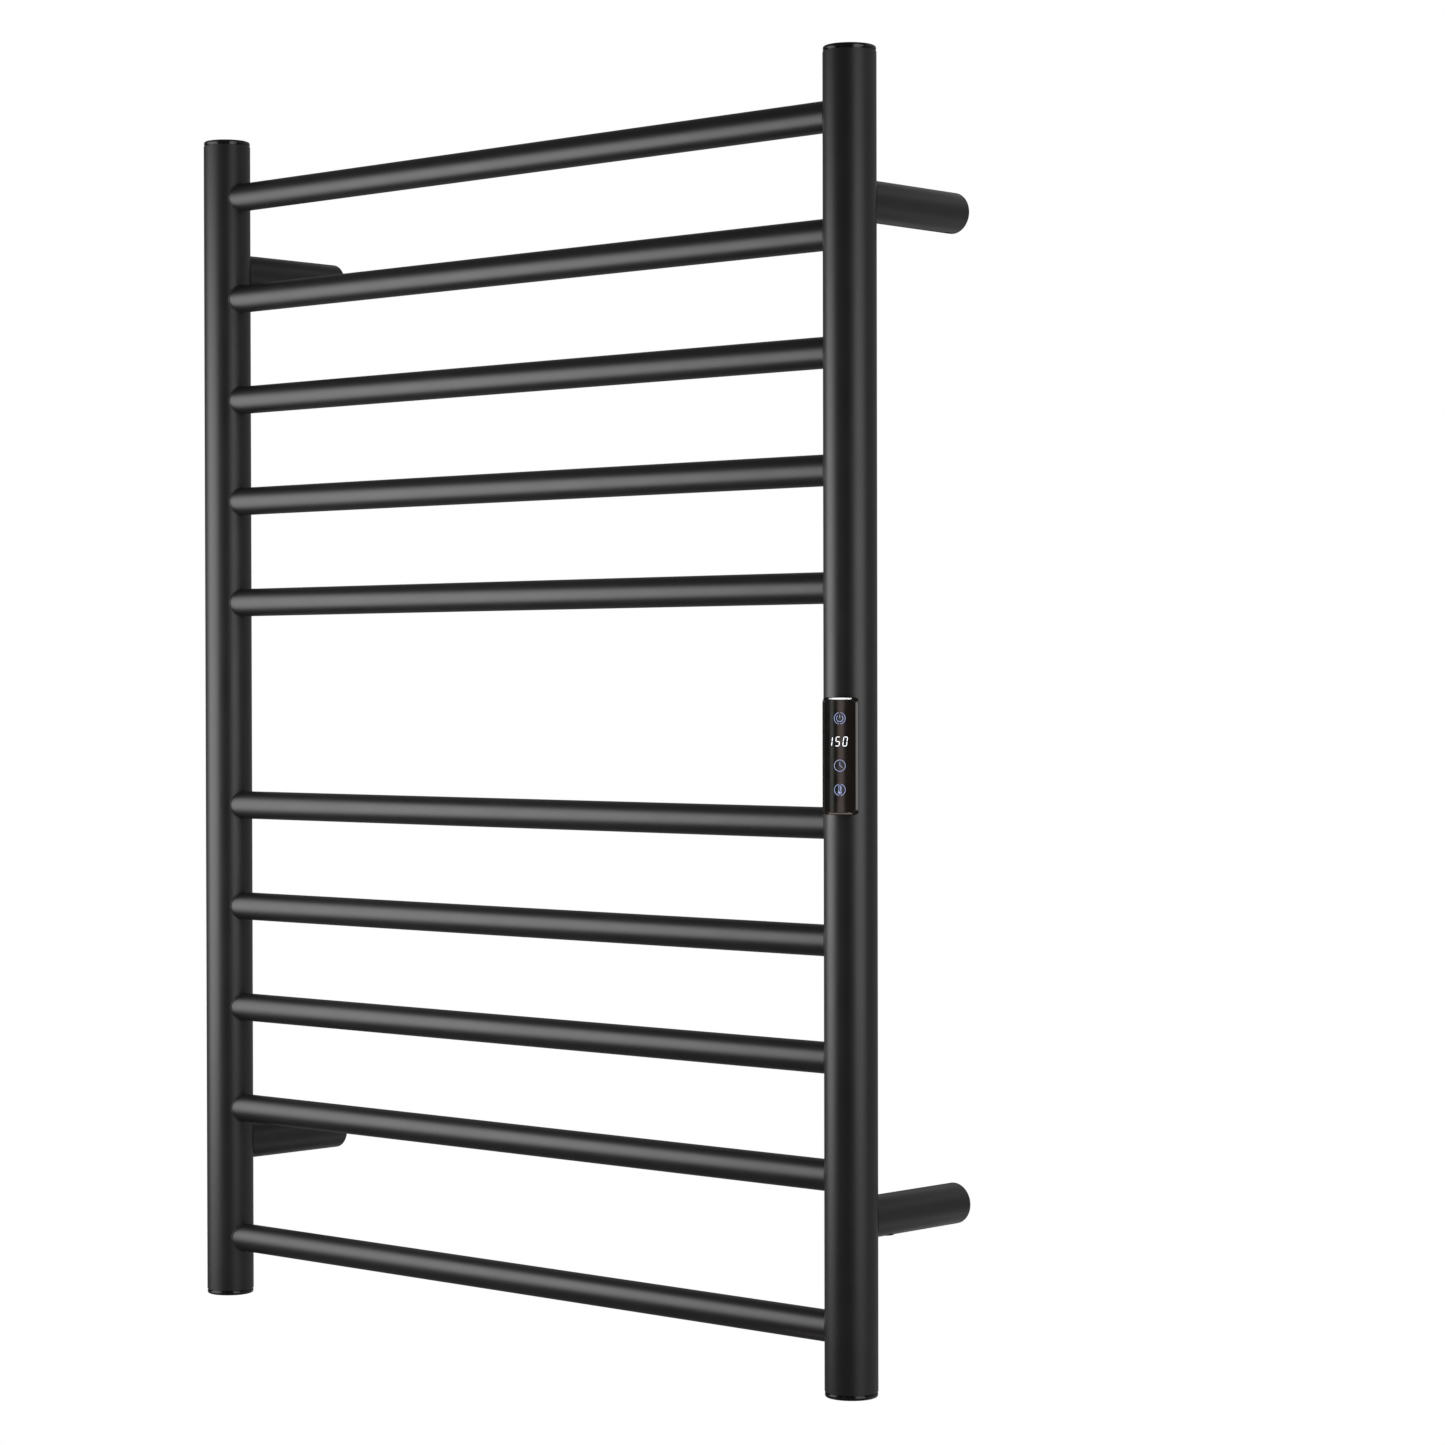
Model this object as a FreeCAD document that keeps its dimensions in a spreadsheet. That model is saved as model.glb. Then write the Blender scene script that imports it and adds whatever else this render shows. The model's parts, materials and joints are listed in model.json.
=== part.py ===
import FreeCAD, Part
import math
import os

import Sketcher
from FreeCAD import Placement, Rotation, Vector

# Electric ladder towel warmer: two upright posts joined by ten round bars, held off the wall by four
# sleeves that slide over wall bases, with a touch control let into the right post.
# Frame: origin on the wall plane, at the centre of the four wall screws. +X is to the right seen from
# the room, +Z is up, and the rack's front faces -Y. All lengths are millimetres.

SIZES = [
    ("width", 600, "outside to outside of the posts"),
    ("wall_distance", 99, "wall to the axes of posts and bars"),
    ("post_diameter", 32, "outside of a post"),
    ("post_wall", 1.5, "wall of a post"),
    ("bar_diameter", 19, "outside of a bar"),
    ("bar_wall", 1.2, "wall of a bar"),
    ("bar_insert", 4, "how far a bar reaches past the inside of the post's wall"),
    ("bar_pitch", 70, "axis to axis of neighbouring bars"),
    ("middle_gap", 140, "axis to axis across the open gap in the middle"),
    ("bottom_gap", 90, "axis to axis of the two lowest bars"),
    ("end_margin", 40, "end of the rack to the axis of its first or last bar"),
    ("sleeve_below_top", 90, "top of the rack to the axes of the upper sleeves"),
    ("sleeve_above_bottom", 105, "bottom of the rack to the axes of the lower sleeves"),
    ("cap_height", 3.0, "visible crown of an end cap"),
    ("cap_groove", 0.4, "shadow gap between post and crown"),
    ("cap_inset", 0.5, "crown edge inside the post's outline"),
    ("cap_round", 1.3, "rounding of the crown's edge"),
    ("cap_spigot", 10, "plug of the cap inside the post"),
    ("cap_wall", 2, "wall of the plug"),
    ("slip_gap", 0.15, "clearance of a part that slips into another"),
    ("sleeve_diameter", 25, "outside of a sleeve"),
    ("sleeve_wall", 3, "wall of a sleeve"),
    ("sleeve_floor", 3, "floor of a sleeve against the post"),
    ("sleeve_round", 1.0, "rounding of the wall end of a sleeve"),
    ("sleeve_to_wall", 1.0, "sleeve end to the wall when pushed home"),
    ("running_gap", 0.05, "radial clearance of wall base and sleeve bore"),
    ("base_length", 27, "wall base, wall to tip"),
    ("base_floor", 6, "floor of the wall base under the wall screw"),
    ("base_wall", 2.5, "wall of the wall base's cup"),
    ("base_chamfer", 1.0, "lead-in chamfer of the wall base"),
    ("wall_hole", 5.5, "hole for the wall screw"),
    ("grub_back", 8, "sleeve end to the grub screw"),
    ("grub_diameter", 5, "grub screw"),
    ("grub_lift", 0.3, "backed-off grub screw to the wall base"),
    ("grub_sink", 1.0, "backed-off grub screw below the sleeve's outline"),
    ("screw_diameter", 5, "screw that holds a sleeve to the post"),
    ("screw_head", 8.5, "head of that screw"),
    ("screw_head_height", 5, "height of that head"),
    ("floor_gap", 0.5, "screw head and lead hole to the bore, on a sleeve's floor"),
    ("hex_key", 4, "hexagon socket across its corners"),
    ("nut_diameter", 7, "rivet nut in the post"),
    ("nut_length", 10, "rivet nut in the post"),
    ("earth_thickness", 0.8, "ring terminal under the screw"),
    ("earth_barrel", 2, "crimp barrel of the ring terminal"),
    ("lead_hole", 5.2, "hole for the supply lead"),
    ("lead_diameter", 4.4, "supply lead"),
    ("bushing_clear", 12, "sleeve floor to the middle of the cord bushing"),
    ("bushing_diameter", 11, "cord bushing"),
    ("bushing_bore", 6.2, "hole of the cord bushing"),
    ("bushing_proud", 0.25, "bushing below the sleeve"),
    ("bushing_depth", 4.7, "bushing inside the sleeve's outline"),
    ("terminal_clear", 23, "sleeve floor to the terminal block"),
    ("terminal_length", 18, "terminal block"),
    ("terminal_width", 13, "terminal block"),
    ("terminal_drop", 1, "sleeve axis down to the top of the terminal block"),
    ("wire_entry", 2.4, "wire entry of the terminal block"),
    ("wire_pitch", 4, "wire entries of the terminal block"),
    ("wire_drop", 3, "top of the terminal block down to its wire entries"),
    ("cable_diameter", 5, "heating cable"),
    ("cable_bend", 12, "bend radius of the heating cable"),
    ("riser_gap", 2.5, "bore to the cable that runs up beside the turns"),
    ("lead_gap", 3.3, "bore to the supply lead that runs up the back"),
    ("crimp_diameter", 6.4, "crimp at each end of the heating cable"),
    ("crimp_length", 16, "crimp at each end of the heating cable"),
    ("crimp_above_board", 12, "power board's upper end to the upper crimp"),
    ("crimp_below_board", 26, "power board's lower end to the lower crimp"),
    ("tail_diameter", 2.4, "cold tail from a crimp to the terminals"),
    ("tail_bend", 6, "bend radius of a cold tail"),
    ("tail_run", 4, "straight ends of the upper cold tail"),
    ("tail_dip", 10, "straight run of the lower cold tail above its crimp"),
    ("tail_rise", 8, "straight run of the lower cold tail below the power board"),
    ("lead_bend", 7, "bend radius of the supply lead"),
    ("lead_run", 5, "straight run of the supply lead off its terminal"),
    ("lead_climb", 15, "terminal block to the supply lead's height in the sleeve"),
    ("lead_turn", 26, "power board down to the supply lead's turn inwards"),
    ("lead_rise_run", 9, "straight run of the supply lead below the power board"),
    ("entry_back", 0.5, "post axis back to the power board's wire entries"),
    ("control_rise", 40.5, "axis of the first bar below the open gap to the middle of the control"),
    ("face_turn", 23, "degrees that the control turns to the outside"),
    ("face_rise", 5, "post surface to the touch face"),
    ("face_width", 22.4, "control seen from its front"),
    ("face_height", 69, "control seen from its front"),
    ("face_corner", 3, "corner radius of the control"),
    ("lens_thickness", 1.8, "touch lens"),
    ("lens_chamfer", 1.5, "bevel round the touch lens"),
    ("bezel_tuck", 4, "lean of each side of the bezel, from the lens to its back"),
    ("adhesive", 0.2, "adhesive under the lens"),
    ("adhesive_side", 0.5, "adhesive to the edge of the control, and to its tray at the sides"),
    ("adhesive_end", 3.5, "adhesive's width at the control's ends"),
    ("gasket", 0.6, "gasket between control and post"),
    ("gasket_width", 17.6, "gasket across the post"),
    ("gasket_inset", 1, "gasket inside each end of the control"),
    ("window_width", 15, "window in the post behind the control"),
    ("window_height", 55, "window in the post behind the control"),
    ("tray_gap", 0.3, "control's tray to the edge of the window"),
    ("tray_wall", 1.2, "wall of the tray"),
    ("tray_overlap", 1, "tray into the bezel"),
    ("tray_depth", 8.5, "post surface in to the back of the tray"),
    ("fixing_offset", 30.5, "middle of the control to its screws"),
    ("fixing_diameter", 3, "screws of the control"),
    ("fixing_head", 5.4, "heads of those screws"),
    ("fixing_head_height", 1.6, "heads of those screws"),
    ("fixing_sink", 0.2, "heads of those screws below the bezel's front"),
    ("fixing_through", 1.5, "tips of those screws inside the post"),
    ("cross_width", 0.8, "cross slot of those screws"),
    ("cross_depth", 1, "cross slot of those screws"),
    ("cross_length", 3, "cross slot of those screws"),
    ("display_offset", 8.6, "middle of the control up to the digits"),
    ("power_offset", 22.2, "middle of the control up to the power key"),
    ("clock_offset", 5.6, "middle of the control down to the clock key"),
    ("heat_offset", 19.8, "middle of the control down to the temperature key"),
    ("key_diameter", 6.8, "touch spring behind a key"),
    ("key_wall", 0.5, "wall of a touch spring"),
    ("display_width", 11, "display module"),
    ("display_height", 8.4, "display module"),
    ("control_board_depth", 7, "touch face to the back of the control board"),
    ("control_board_thickness", 1, "control board"),
    ("lamp_width", 1.6, "lamp behind a key"),
    ("lamp_height", 0.8, "lamp behind a key"),
    ("lamp_depth", 0.7, "lamp behind a key"),
    ("radio_width", 10, "wireless module"),
    ("radio_height", 14, "wireless module"),
    ("radio_depth", 2.4, "wireless module"),
    ("radio_drop", 14, "middle of the control down to the wireless module"),
    ("link_width", 11, "link between the boards"),
    ("link_height", 2.5, "link between the boards"),
    ("board_face", 4.5, "post axis back to the face of the power board"),
    ("board_thickness", 1.6, "power board"),
    ("board_above_bar", 22, "bar below the open gap to the power board"),
    ("board_below_bar", 18, "power board to the bar above the open gap"),
    ("carrier_wall", 1.2, "board carrier"),
    ("carrier_rim", 1, "post axis back to the rim of the carrier"),
    ("ledge_width", 2, "ledge of the carrier behind the power board's edge"),
    ("carrier_overhang", 4, "carrier beyond each end of the power board"),
    ("part_depth", 8, "relay and transformer off the power board"),
    ("relay_width", 15, "relay"),
    ("relay_length", 20, "relay"),
    ("relay_start", 33, "lower end of the power board to the relay"),
    ("transformer_width", 14, "transformer"),
    ("transformer_length", 14, "transformer"),
    ("transformer_start", 54, "lower end of the power board to the transformer"),
    ("capacitor_diameter", 8, "capacitor"),
    ("fuse_diameter", 5.2, "fuse"),
    ("tube_length", 13, "capacitor and fuse"),
    ("tube_start", 11, "lower end of the power board to the capacitor and fuse"),
    ("terminal_depth", 7.5, "terminals off the power board"),
    ("terminal_rise", 8, "height of the power board's terminals"),
    ("entry_offset", 5, "middle of the power board to its wire entries"),
    ("block_trim", 1, "end of a terminal block inside a full pitch"),
    ("sensor_diameter", 3, "temperature sensor"),
    ("sensor_length", 8, "temperature sensor"),
    ("sensor_gap", 3, "carrier to the temperature sensor"),
    ("link_offset", 11.5, "middle of the control up to the link between the boards"),
]

PLACES = [
    ("post_x", "(sizes.width - sizes.post_diameter) / 2"),
    ("post_radius", "sizes.post_diameter / 2"),
    ("post_bore", "sizes.post_diameter / 2 - sizes.post_wall"),
    ("rack_height", "2 * sizes.end_margin + 7 * sizes.bar_pitch + sizes.middle_gap + sizes.bottom_gap"),
    ("upper_sleeve", "places.rack_height - sizes.sleeve_below_top"),
    ("rack_bottom", "-(sizes.sleeve_above_bottom + places.upper_sleeve) / 2"),
    ("level_six", "sizes.end_margin + sizes.bottom_gap + 3 * sizes.bar_pitch"),
    ("cap_total", "sizes.cap_height + sizes.cap_groove"),
    ("sleeve_radius", "sizes.sleeve_diameter / 2"),
    ("sleeve_bore", "sizes.sleeve_diameter / 2 - sizes.sleeve_wall"),
    ("sleeve_end", "sizes.wall_distance - sizes.sleeve_to_wall"),
    ("sleeve_seat", "sizes.post_diameter / 2 + sizes.sleeve_floor"),
    ("base_radius", "places.sleeve_bore - sizes.running_gap"),
    ("bushing_back", "places.sleeve_seat + sizes.bushing_clear"),
    ("terminal_start", "places.sleeve_seat + sizes.terminal_clear"),
    ("screw_drop", "places.sleeve_bore - sizes.screw_head / 2 - sizes.floor_gap"),
    ("lead_rise", "places.sleeve_bore - sizes.lead_hole / 2 - sizes.floor_gap"),
    ("riser_offset", "places.post_bore - sizes.cable_diameter / 2 - sizes.riser_gap"),
    ("lead_lane", "places.post_bore - sizes.lead_diameter / 2 - sizes.lead_gap"),
    ("control_height", "places.level_six + sizes.control_rise"),
    ("face_reach", "places.post_radius + sizes.face_rise"),
    ("housing_front", "places.face_reach - sizes.lens_thickness - sizes.adhesive"),
    ("tray_back", "places.post_radius - sizes.tray_depth"),
    ("control_board_back", "places.face_reach - sizes.control_board_depth"),
    ("control_board_front", "places.control_board_back + sizes.control_board_thickness"),
    ("tray_width", "sizes.window_width - 2 * sizes.tray_gap"),
    ("tray_height", "sizes.window_height - 2 * sizes.tray_gap"),
    ("board_length", "sizes.middle_gap - sizes.board_above_bar - sizes.board_below_bar"),
    ("board_low", "sizes.board_above_bar - sizes.control_rise"),
    ("board_high", "places.board_low + places.board_length"),
    ("board_middle", "places.board_low + places.board_length / 2"),
    ("carrier_outer", "places.post_bore - sizes.slip_gap"),
    ("carrier_inner", "places.carrier_outer - sizes.carrier_wall"),
    ("carrier_length", "places.board_length + 2 * sizes.carrier_overhang"),
    ("board_back", "sizes.board_face + sizes.board_thickness"),
    ("board_width", "2 * (sqrt(places.carrier_inner ^ 2 - places.board_back ^ 2) - 3 * sizes.slip_gap)"),
]

LADDER = [
    "places.rack_height - sizes.end_margin",
    "places.rack_height - sizes.end_margin - sizes.bar_pitch",
    "places.rack_height - sizes.end_margin - 2 * sizes.bar_pitch",
    "places.rack_height - sizes.end_margin - 3 * sizes.bar_pitch",
    "places.rack_height - sizes.end_margin - 4 * sizes.bar_pitch",
    "places.level_six",
    "sizes.end_margin + sizes.bottom_gap + 2 * sizes.bar_pitch",
    "sizes.end_margin + sizes.bottom_gap + sizes.bar_pitch",
    "sizes.end_margin + sizes.bottom_gap",
    "sizes.end_margin",
]

doc = FreeCAD.newDocument("towel_warmer")
sheet = doc.addObject("Spreadsheet::Sheet", "sizes")
for row, (alias, value, meaning) in enumerate(SIZES, start=1):
    sheet.set(f"A{row}", str(value))
    sheet.setAlias(f"A{row}", alias)
    sheet.set(f"B{row}", meaning)
doc.recompute()

places = doc.addObject("App::VarSet", "places")
for alias, formula in PLACES:
    places.addProperty("App::PropertyFloat", alias)
    places.setExpression(alias, formula)
reader = doc.addObject("App::VarSet", "reader")
reader.addProperty("App::PropertyFloat", "reading")
doc.recompute()

NODES = {}
CUTS = []
POST_SIDES = {"left": "-places.post_x", "right": "places.post_x"}
LEVELS = {"lower": "sizes.sleeve_above_bottom", "upper": "places.upper_sleeve"}
CORNERS = [(f"{level}_{side}", side, LEVELS[level]) for level in LEVELS for side in POST_SIDES]
ALONG = {
    "x": Rotation(Vector(0, 1, 0), 90),
    "y": Rotation(Vector(1, 0, 0), -90),
    "z": Rotation(),
}


# ---------------------------------------------------------------- helpers

def number(expression):
    """Value of a size expression at this moment."""
    reader.setExpression("reading", expression)
    reader.recompute()
    return reader.reading


def node(thing, name):
    """Registers a finished sub-part under its plain name."""
    thing.Label = name
    NODES[name] = thing
    return thing


def move(thing, x="0", y="0", z="0"):
    """Ties the place of a thing to size expressions."""
    for letter, expression in zip("xyz", (x, y, z)):
        thing.setExpression(f"Placement.Base.{letter}", expression)
    return thing


def on_post(thing, side, height):
    """Puts a thing whose own origin is on a post's axis at a height above the rack's bottom."""
    return move(thing, POST_SIDES[side], "-sizes.wall_distance", f"places.rack_bottom + {height}")


def on_control(thing):
    """Puts a thing whose own origin is the control's middle on the right post, turned outwards."""
    if thing.TypeId in ("Part::Box", "Part::Cylinder"):
        # a bare primitive keeps its place inside the control, so a compound carries it there
        thing = group(f"{thing.Name}_placed", [thing])
    thing.Placement = Placement(Vector(), Rotation(Vector(0, 0, 1), 1))
    thing.setExpression("Placement.Rotation.Angle", "sizes.face_turn")
    return move(thing, "places.post_x", "-sizes.wall_distance", "places.rack_bottom + places.control_height")


def new_body(name):
    return doc.addObject("PartDesign::Body", f"{name}_body")


def new_sketch(body, name, plane, offset="0"):
    """Sketch on one of the body's own origin planes, lifted along that plane's normal."""
    sketch = body.newObject("Sketcher::SketchObject", name)
    origin_plane = next(f for f in body.Origin.OriginFeatures if f.Role == plane)
    sketch.AttachmentSupport = [(origin_plane, "")]
    sketch.MapMode = "FlatFace"
    sketch.setExpression("AttachmentOffset.Base.z", offset)
    return sketch


def pin(sketch, item, point, x, y):
    """Ties a point of the sketch to two size expressions."""
    for kind, expression in (("DistanceX", x), ("DistanceY", y)):
        rule = Sketcher.Constraint(kind, -1, 1, item, point, number(expression))
        index = sketch.addConstraint(rule)
        sketch.setExpression(f"Constraints[{index}]", expression)


def draw_circle(sketch, radius, x="0", y="0"):
    centre = Vector(number(x), number(y), 0)
    item = sketch.addGeometry(Part.Circle(centre, Vector(0, 0, 1), number(radius)))
    pin(sketch, item, 3, x, y)
    index = sketch.addConstraint(Sketcher.Constraint("Radius", item, number(radius)))
    sketch.setExpression(f"Constraints[{index}]", radius)


def draw_outline(sketch, corners):
    """Closed outline of straight lines whose corners are size expressions."""
    spots = [Vector(number(x), number(y), 0) for x, y in corners]
    count = len(corners)
    first = sketch.GeometryCount
    for i in range(count):
        sketch.addGeometry(Part.LineSegment(spots[i], spots[(i + 1) % count]))
    for i in range(count):
        follower = first + (i + 1) % count
        sketch.addConstraint(Sketcher.Constraint("Coincident", first + i, 2, follower, 1))
    for i, (x, y) in enumerate(corners):
        pin(sketch, first + i, 1, x, y)


def draw_rectangle(sketch, width, height, x="0", y="0"):
    left, right = f"{x} - ({width}) / 2", f"{x} + ({width}) / 2"
    low, high = f"{y} - ({height}) / 2", f"{y} + ({height}) / 2"
    draw_outline(sketch, [(left, low), (right, low), (right, high), (left, high)])


def pad(body, sketch, length, both_ways=False):
    feature = body.newObject("PartDesign::Pad", f"{sketch.Name}_pad")
    feature.Profile = sketch
    feature.SideType = "Symmetric" if both_ways else "One side"
    feature.setExpression("Length", length)
    doc.recompute()
    return feature


def pocket(body, sketch, length, both_ways=False, along_normal=False):
    """Cut against the sketch's normal, or along it, with the volume before it kept for a check."""
    before = body.Shape.Volume
    feature = body.newObject("PartDesign::Pocket", f"{sketch.Name}_cut")
    feature.Profile = sketch
    feature.SideType = "Symmetric" if both_ways else "One side"
    feature.Reversed = along_normal
    feature.setExpression("Length", length)
    doc.recompute()
    CUTS.append((feature, before))
    return feature


def turn(body, sketch):
    """Full turn of a profile about the sketch's vertical axis."""
    feature = body.newObject("PartDesign::Revolution", f"{sketch.Name}_turn")
    feature.Profile = sketch
    feature.ReferenceAxis = (sketch, ["V_Axis"])
    feature.Angle = 360
    doc.recompute()
    return feature


def dress(body, kind, size, wanted):
    """Fillet or chamfer on the edges that a test picks out."""
    base = body.Tip
    names = [f"Edge{i}" for i, edge in enumerate(base.Shape.Edges, start=1) if wanted(edge)]
    feature = body.newObject(f"PartDesign::{kind}", f"{base.Name}_{kind.lower()}")
    feature.Base = (base, names)
    feature.setExpression("Radius" if kind == "Fillet" else "Size", size)
    doc.recompute()
    return feature


def is_rim(edge, centre, radius):
    """Whether an edge is the full circle of this radius round this point."""
    if not isinstance(edge.Curve, Part.Circle):
        return False
    return edge.Curve.Center.isEqual(centre, 1e-4) and abs(edge.Curve.Radius - radius) < 1e-4


def cylinder(name, radius, length, x="0", y="0", z="0", along="z"):
    """Cylinder that starts at a point and runs along a positive axis."""
    solid = doc.addObject("Part::Cylinder", name)
    solid.setExpression("Radius", radius)
    solid.setExpression("Height", length)
    solid.Placement = Placement(Vector(), ALONG[along])
    return move(solid, x, y, z)


def box(name, wide, deep, high, x="0", y="0", z="0"):
    """Box centred in X and Z on a point, running back from it in Y."""
    solid = doc.addObject("Part::Box", name)
    for edge, expression in (("Length", wide), ("Width", deep), ("Height", high)):
        solid.setExpression(edge, expression)
    return move(solid, f"{x} - ({wide}) / 2", y, f"{z} - ({high}) / 2")


def cut(name, base, *tools):
    tool = tools[0] if len(tools) == 1 else fuse(f"{name}_tools", *tools)
    result = doc.addObject("Part::Cut", name)
    result.Base = base
    result.Tool = tool
    return result


def fuse(name, *things):
    result = doc.addObject("Part::MultiFuse", name)
    result.Shapes = list(things)
    return result


def common(name, *things):
    result = doc.addObject("Part::MultiCommon", name)
    result.Shapes = list(things)
    return result


def group(name, things):
    """Several like solids that share one node."""
    result = doc.addObject("Part::Compound", name)
    result.Links = things
    return result


def soft_path(points, bend):
    """Straight runs joined by tangent arcs, which shrink where the runs are too short for them."""
    edges = []
    start = points[0]
    for before, corner, after in zip(points, points[1:], points[2:]):
        come = (corner - before).normalize()
        go = (after - corner).normalize()
        half = come.getAngle(go) / 2
        reach = min(bend * math.tan(half), 0.48 * (corner - before).Length, 0.48 * (after - corner).Length)
        radius = reach / math.tan(half)
        first, last = corner - come * reach, corner + go * reach
        centre = first + (go - come * go.dot(come)).normalize() * radius
        middle = centre + (corner - centre).normalize() * radius
        edges.append(Part.LineSegment(start, first).toShape())
        edges.append(Part.Arc(first, middle, last).toShape())
        start = last
    edges.append(Part.LineSegment(start, points[-1]).toShape())
    return Part.Wire(edges)


def tube_along(points, diameter, bend):
    """Round solid swept along a soft path, checked against section times length."""
    path = soft_path(points, bend)
    section = Part.Wire(Part.Circle(points[0], points[1] - points[0], diameter / 2).toShape())
    solid = path.makePipeShell([section], True, False)
    expected = math.pi * diameter ** 2 / 4 * path.Length
    if abs(solid.Volume / expected - 1) > 0.01:
        raise RuntimeError(f"a tube's volume is {solid.Volume:.0f} instead of {expected:.0f}")
    return solid


def swept_node(name, runs, diameter, bend):
    """Cable node in the rack's frame, made of one tube or several."""
    tubes = [tube_along(points, diameter, bend) for points in runs]
    feature = doc.addObject("Part::Feature", name)
    feature.Shape = tubes[0] if len(tubes) == 1 else Part.makeCompound(tubes)
    feature.Placement = Placement(Vector(0, -number("sizes.wall_distance"), number("places.rack_bottom")),
                                  Rotation())
    return node(feature, name)


# ---------------------------------------------------------------- ladder

def make_post(side):
    """Tube with holes for the bars on its inner side and for the rivet nuts at its back."""
    name = f"{side}_post"
    body = new_body(name)
    ring = new_sketch(body, f"{name}_ring", "XY_Plane", "places.cap_total")
    draw_circle(ring, "places.post_radius")
    draw_circle(ring, "places.post_bore")
    pad(body, ring, "places.rack_height - 2 * places.cap_total")
    holes = new_sketch(body, f"{name}_bar_holes", "YZ_Plane")
    for height in LADDER:
        draw_circle(holes, "sizes.bar_diameter / 2", "0", height)
    pocket(body, holes, "places.post_radius + 1", along_normal=side == "left")
    back = new_sketch(body, f"{name}_nut_holes", "XZ_Plane")
    for height in LEVELS.values():
        draw_circle(back, "sizes.nut_diameter / 2", "0", f"{height} - places.screw_drop")
    if side == "right":
        draw_circle(back, "sizes.lead_hole / 2", "0", "sizes.sleeve_above_bottom + places.lead_rise")
    pocket(body, back, "places.post_radius + 1")
    if side == "right":
        window = new_sketch(body, f"{name}_window", "XZ_Plane")
        window.AttachmentOffset = Placement(Vector(), Rotation(Vector(0, 1, 0), 1))
        window.setExpression("AttachmentOffset.Rotation.Angle", "sizes.face_turn")
        draw_rectangle(window, "sizes.window_width", "sizes.window_height", y="places.control_height")
        for sign in "+-":
            height = f"places.control_height {sign} sizes.fixing_offset"
            draw_circle(window, "sizes.fixing_diameter / 2", "0", height)
        pocket(body, window, "places.post_radius + 1", along_normal=True)
    node(on_post(body, side, "0"), name)


def make_bar(index, height):
    """Tube set into both posts."""
    name = f"bar_{index:02d}"
    body = new_body(name)
    ring = new_sketch(body, f"{name}_ring", "YZ_Plane")
    draw_circle(ring, "sizes.bar_diameter / 2")
    draw_circle(ring, "sizes.bar_diameter / 2 - sizes.bar_wall")
    pad(body, ring, "2 * (places.post_x - places.post_bore + sizes.bar_insert)", both_ways=True)
    move(body, "0", "-sizes.wall_distance", f"places.rack_bottom + {height}")
    node(body, name)


def make_cap(side, end):
    """Crowned cap whose plug slips into the post, with a shadow groove below the crown."""
    name = f"{end}_cap_{side}"
    plug = "places.post_bore - sizes.slip_gap"
    crown = "places.post_radius - sizes.cap_inset"
    body = new_body(name)
    profile = new_sketch(body, f"{name}_profile", "XZ_Plane")
    draw_outline(profile, [
        ("0", "-sizes.cap_wall"),
        (f"{plug} - sizes.cap_wall", "-sizes.cap_wall"),
        (f"{plug} - sizes.cap_wall", "-sizes.cap_spigot"),
        (plug, "-sizes.cap_spigot"),
        (plug, "0"),
        (f"{crown} - sizes.cap_inset", "0"),
        (f"{crown} - sizes.cap_inset", "sizes.cap_groove"),
        (crown, "sizes.cap_groove"),
        (crown, "places.cap_total"),
        ("0", "places.cap_total"),
    ])
    turn(body, profile)
    top = Vector(0, 0, number("places.cap_total"))
    dress(body, "Fillet", "sizes.cap_round", lambda edge: is_rim(edge, top, number(crown)))
    if end == "bottom":
        body.Placement = Placement(Vector(), Rotation(Vector(1, 0, 0), 180))
    height = "places.cap_total" if end == "bottom" else "places.rack_height - places.cap_total"
    node(on_post(body, side, height), name)


# ---------------------------------------------------------------- wall fixing

def make_sleeve(corner, side, height):
    """Turned sleeve that saddles the post, with a bore for the wall base and a grub screw hole."""
    name = f"sleeve_{corner}"
    body = new_body(name)
    profile = new_sketch(body, f"{name}_profile", "XY_Plane")
    draw_outline(profile, [
        ("0", "places.post_radius / 2"),
        ("places.sleeve_radius", "places.post_radius / 2"),
        ("places.sleeve_radius", "places.sleeve_end"),
        ("places.sleeve_bore", "places.sleeve_end"),
        ("places.sleeve_bore", "places.sleeve_seat"),
        ("0", "places.sleeve_seat"),
    ])
    turn(body, profile)
    end = Vector(0, number("places.sleeve_end"), 0)
    radius = number("places.sleeve_radius")
    dress(body, "Fillet", "sizes.sleeve_round", lambda edge: is_rim(edge, end, radius))
    saddle = new_sketch(body, f"{name}_saddle", "XY_Plane")
    draw_circle(saddle, "places.post_radius")
    pocket(body, saddle, "2 * sizes.sleeve_diameter", both_ways=True)
    screw = new_sketch(body, f"{name}_screw_hole", "XZ_Plane")
    draw_circle(screw, "sizes.screw_diameter / 2", "0", "-places.screw_drop")
    if corner == "lower_right":
        draw_circle(screw, "sizes.lead_hole / 2", "0", "places.lead_rise")
    pocket(body, screw, "places.sleeve_seat + 1")
    under = new_sketch(body, f"{name}_under_holes", "XY_Plane")
    draw_circle(under, "sizes.grub_diameter / 2", "0", "places.sleeve_end - sizes.grub_back")
    if corner == "lower_right":
        draw_circle(under, "sizes.bushing_diameter / 2", "0", "places.bushing_back")
    pocket(body, under, "sizes.sleeve_diameter")
    node(on_post(body, side, height), name)


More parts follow.
